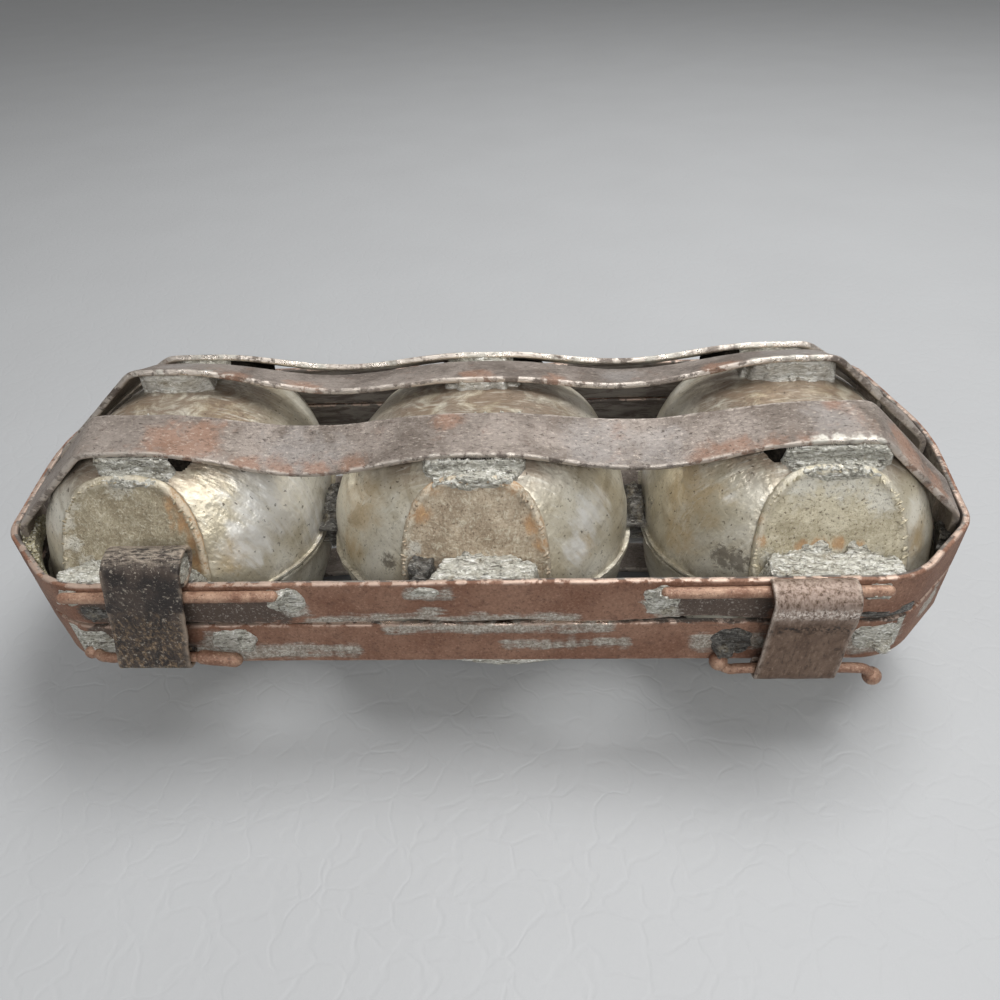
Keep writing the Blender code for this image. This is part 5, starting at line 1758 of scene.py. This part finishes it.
def build_roll_filling(middle, radius, width, seed):
    """Pale crust that fills the left clip's roll, uneven at both ends."""
    around = 40
    rings = 12
    depth = 0.9 * MM
    bm = bmesh.new()
    ends = []
    for sign in (-1, 1):
        rows = []
        for index in range(rings + 1):
            reach = radius * 1.03 * index / rings
            row = []
            for step in range(around):
                angle = 2 * math.pi * step / around * (-sign)
                flat = Vector((0, reach * math.cos(angle), reach * math.sin(angle)))
                sink = depth - depth * wrinkled(flat * 1.3 + Vector((sign, 0, 0)), seed)
                row.append(bm.verts.new(middle + flat + Vector((sign * (width / 2 - 0.5 * MM - sink), 0, 0))))
            rows.append(row)
        bridge(bm, rows, closed=True)
        ends.append(rows[-1])
    bridge(bm, [[ends[0][-step] for step in range(around)], ends[1]], closed=True)
    bmesh.ops.remove_doubles(bm, verts=bm.verts, dist=0.001 * MM)
    mesh = close_mesh("clip_left_roll_filling", bm)
    finish_piece("clip_left_roll_filling", mesh, "clip_left", "solder", (), 60)


# Stage, light and camera: the photograph's view as fitted, in degrees and in millimetres from the
# front rail at the parting plane
VIEW_PITCH, VIEW_YAW, VIEW_ROLL = (math.radians(angle) for angle in (39.084, -3.305, 2.914))
VIEW_PLACE = (13.756, -118.965, 133.157)
FOCAL_PIXELS = 773.291
PICTURE_PIXELS = 1000


def build_stage():
    """A pale floor with a leather grain, a wide soft lamp above and a sky that darkens in front."""
    bpy.ops.mesh.primitive_plane_add(size=6.0, location=(0, 0, -0.02 * MM))
    floor = bpy.context.object
    floor.name = "floor"
    finish = Finish("pale_floor")
    grain = finish.noise(2.4 * MM, 4.0, 0.6)
    creases = finish.cells(9 * MM, "DISTANCE_TO_EDGE", twist=finish.bend(14 * MM, 1.2))
    soft = finish.noise(60 * MM, 2.0, 0.5)
    finish.base(soft, (0.365, 0.37, 0.375), (0.395, 0.402, 0.408))
    finish.relief(grain, 0.06 * MM)
    finish.relief(creases.above(0.0, 0.12), 0.05 * MM)
    floor.data.materials.append(finish.done(0.6, 0.0))

    def lamp(name, place, target, size, watts):
        data = bpy.data.lights.new(name, "AREA")
        data.shape = "RECTANGLE"
        data.size, data.size_y = size
        data.energy = watts
        light = in_scene(bpy.data.objects.new(name, data))
        light.location = place
        light.rotation_euler = (Vector(target) - Vector(place)).to_track_quat("-Z", "Y").to_euler()

    lamp("ceiling_softbox", (0.30, 0.20, 0.95), (0, 0.02, 0.03), (0.7, 0.45), 10.2)
    lamp("front_fill", (0.10, -0.72, 0.62), (0, 0, 0.03), (0.6, 0.35), 4.8)
    world = bpy.data.worlds.new("studio")
    world.use_nodes = True
    sky = Nodes(world.node_tree)
    way = sky.add("ShaderNodeTexCoord", {}, {}, "Generated")
    parts = sky.add("ShaderNodeSeparateXYZ", {}, {"Vector": way})
    back = Value(sky, parts.socket.node.outputs["Y"])
    up = Value(sky, parts.socket.node.outputs["Z"])
    level = (up * 0.18 + back * 0.09 + 0.175).clamped()
    background = world.node_tree.nodes["Background"]
    sky.feed(background.inputs["Strength"], level)
    background.inputs["Color"].default_value = (1.0, 1.0, 1.0, 1.0)
    bpy.context.scene.world = world


def build_camera():
    """The photograph's view."""
    data = bpy.data.cameras.new("photo_view")
    data.sensor_width = 36.0
    data.lens = FOCAL_PIXELS * data.sensor_width / PICTURE_PIXELS
    data.clip_start = 0.01
    camera = in_scene(bpy.data.objects.new("photo_view", data))
    ahead = Vector((math.sin(VIEW_YAW), math.cos(VIEW_YAW), 0.0))
    forward = ahead * math.cos(VIEW_PITCH) - Vector((0.0, 0.0, math.sin(VIEW_PITCH)))
    level = Vector((math.cos(VIEW_YAW), -math.sin(VIEW_YAW), 0.0))
    down = forward.cross(level)
    right = math.cos(VIEW_ROLL) * level + math.sin(VIEW_ROLL) * down
    up = -(math.cos(VIEW_ROLL) * down - math.sin(VIEW_ROLL) * level)
    turn = Matrix((right, up, -forward)).transposed().to_4x4()
    place = Vector(VIEW_PLACE) * MM + Vector((0, FRONT_Y, PARTING_Z))
    camera.matrix_world = Matrix.Translation(place) @ turn
    bpy.context.scene.camera = camera


def build_halves():
    """Both halves, each with its shells, plates, solder, band and straps."""
    for half, turn in HALVES.items():
        for side, place in SIDES.items():
            outer_side = place * turn
            shell = build_shell(half, side, outer_side)
            build_plate(half, side, outer_side)
            build_ledge(half, side, outer_side)
            for row in STRAPS:
                build_pad(half, row, side, outer_side, shell)
            for row in ("front", "rear"):
                build_pad(half, row, side, outer_side, shell, True)
        build_band(half)
        for row in STRAPS:
            build_strap(half, row)


build_camera()
build_stage()
build_halves()
build_small_solder()
build_wires()
build_beads()
for clip_side, clip_sizes in CLIPS.items():
    build_clip(clip_side, clip_sizes)
for node, thing in frame["nodes"].items():
    if node.startswith("hinge"):
        thing.data.materials.clear()
        thing.data.materials.append(FINISHES["hinge"])

bpy.context.scene.view_settings.view_transform = "Standard"
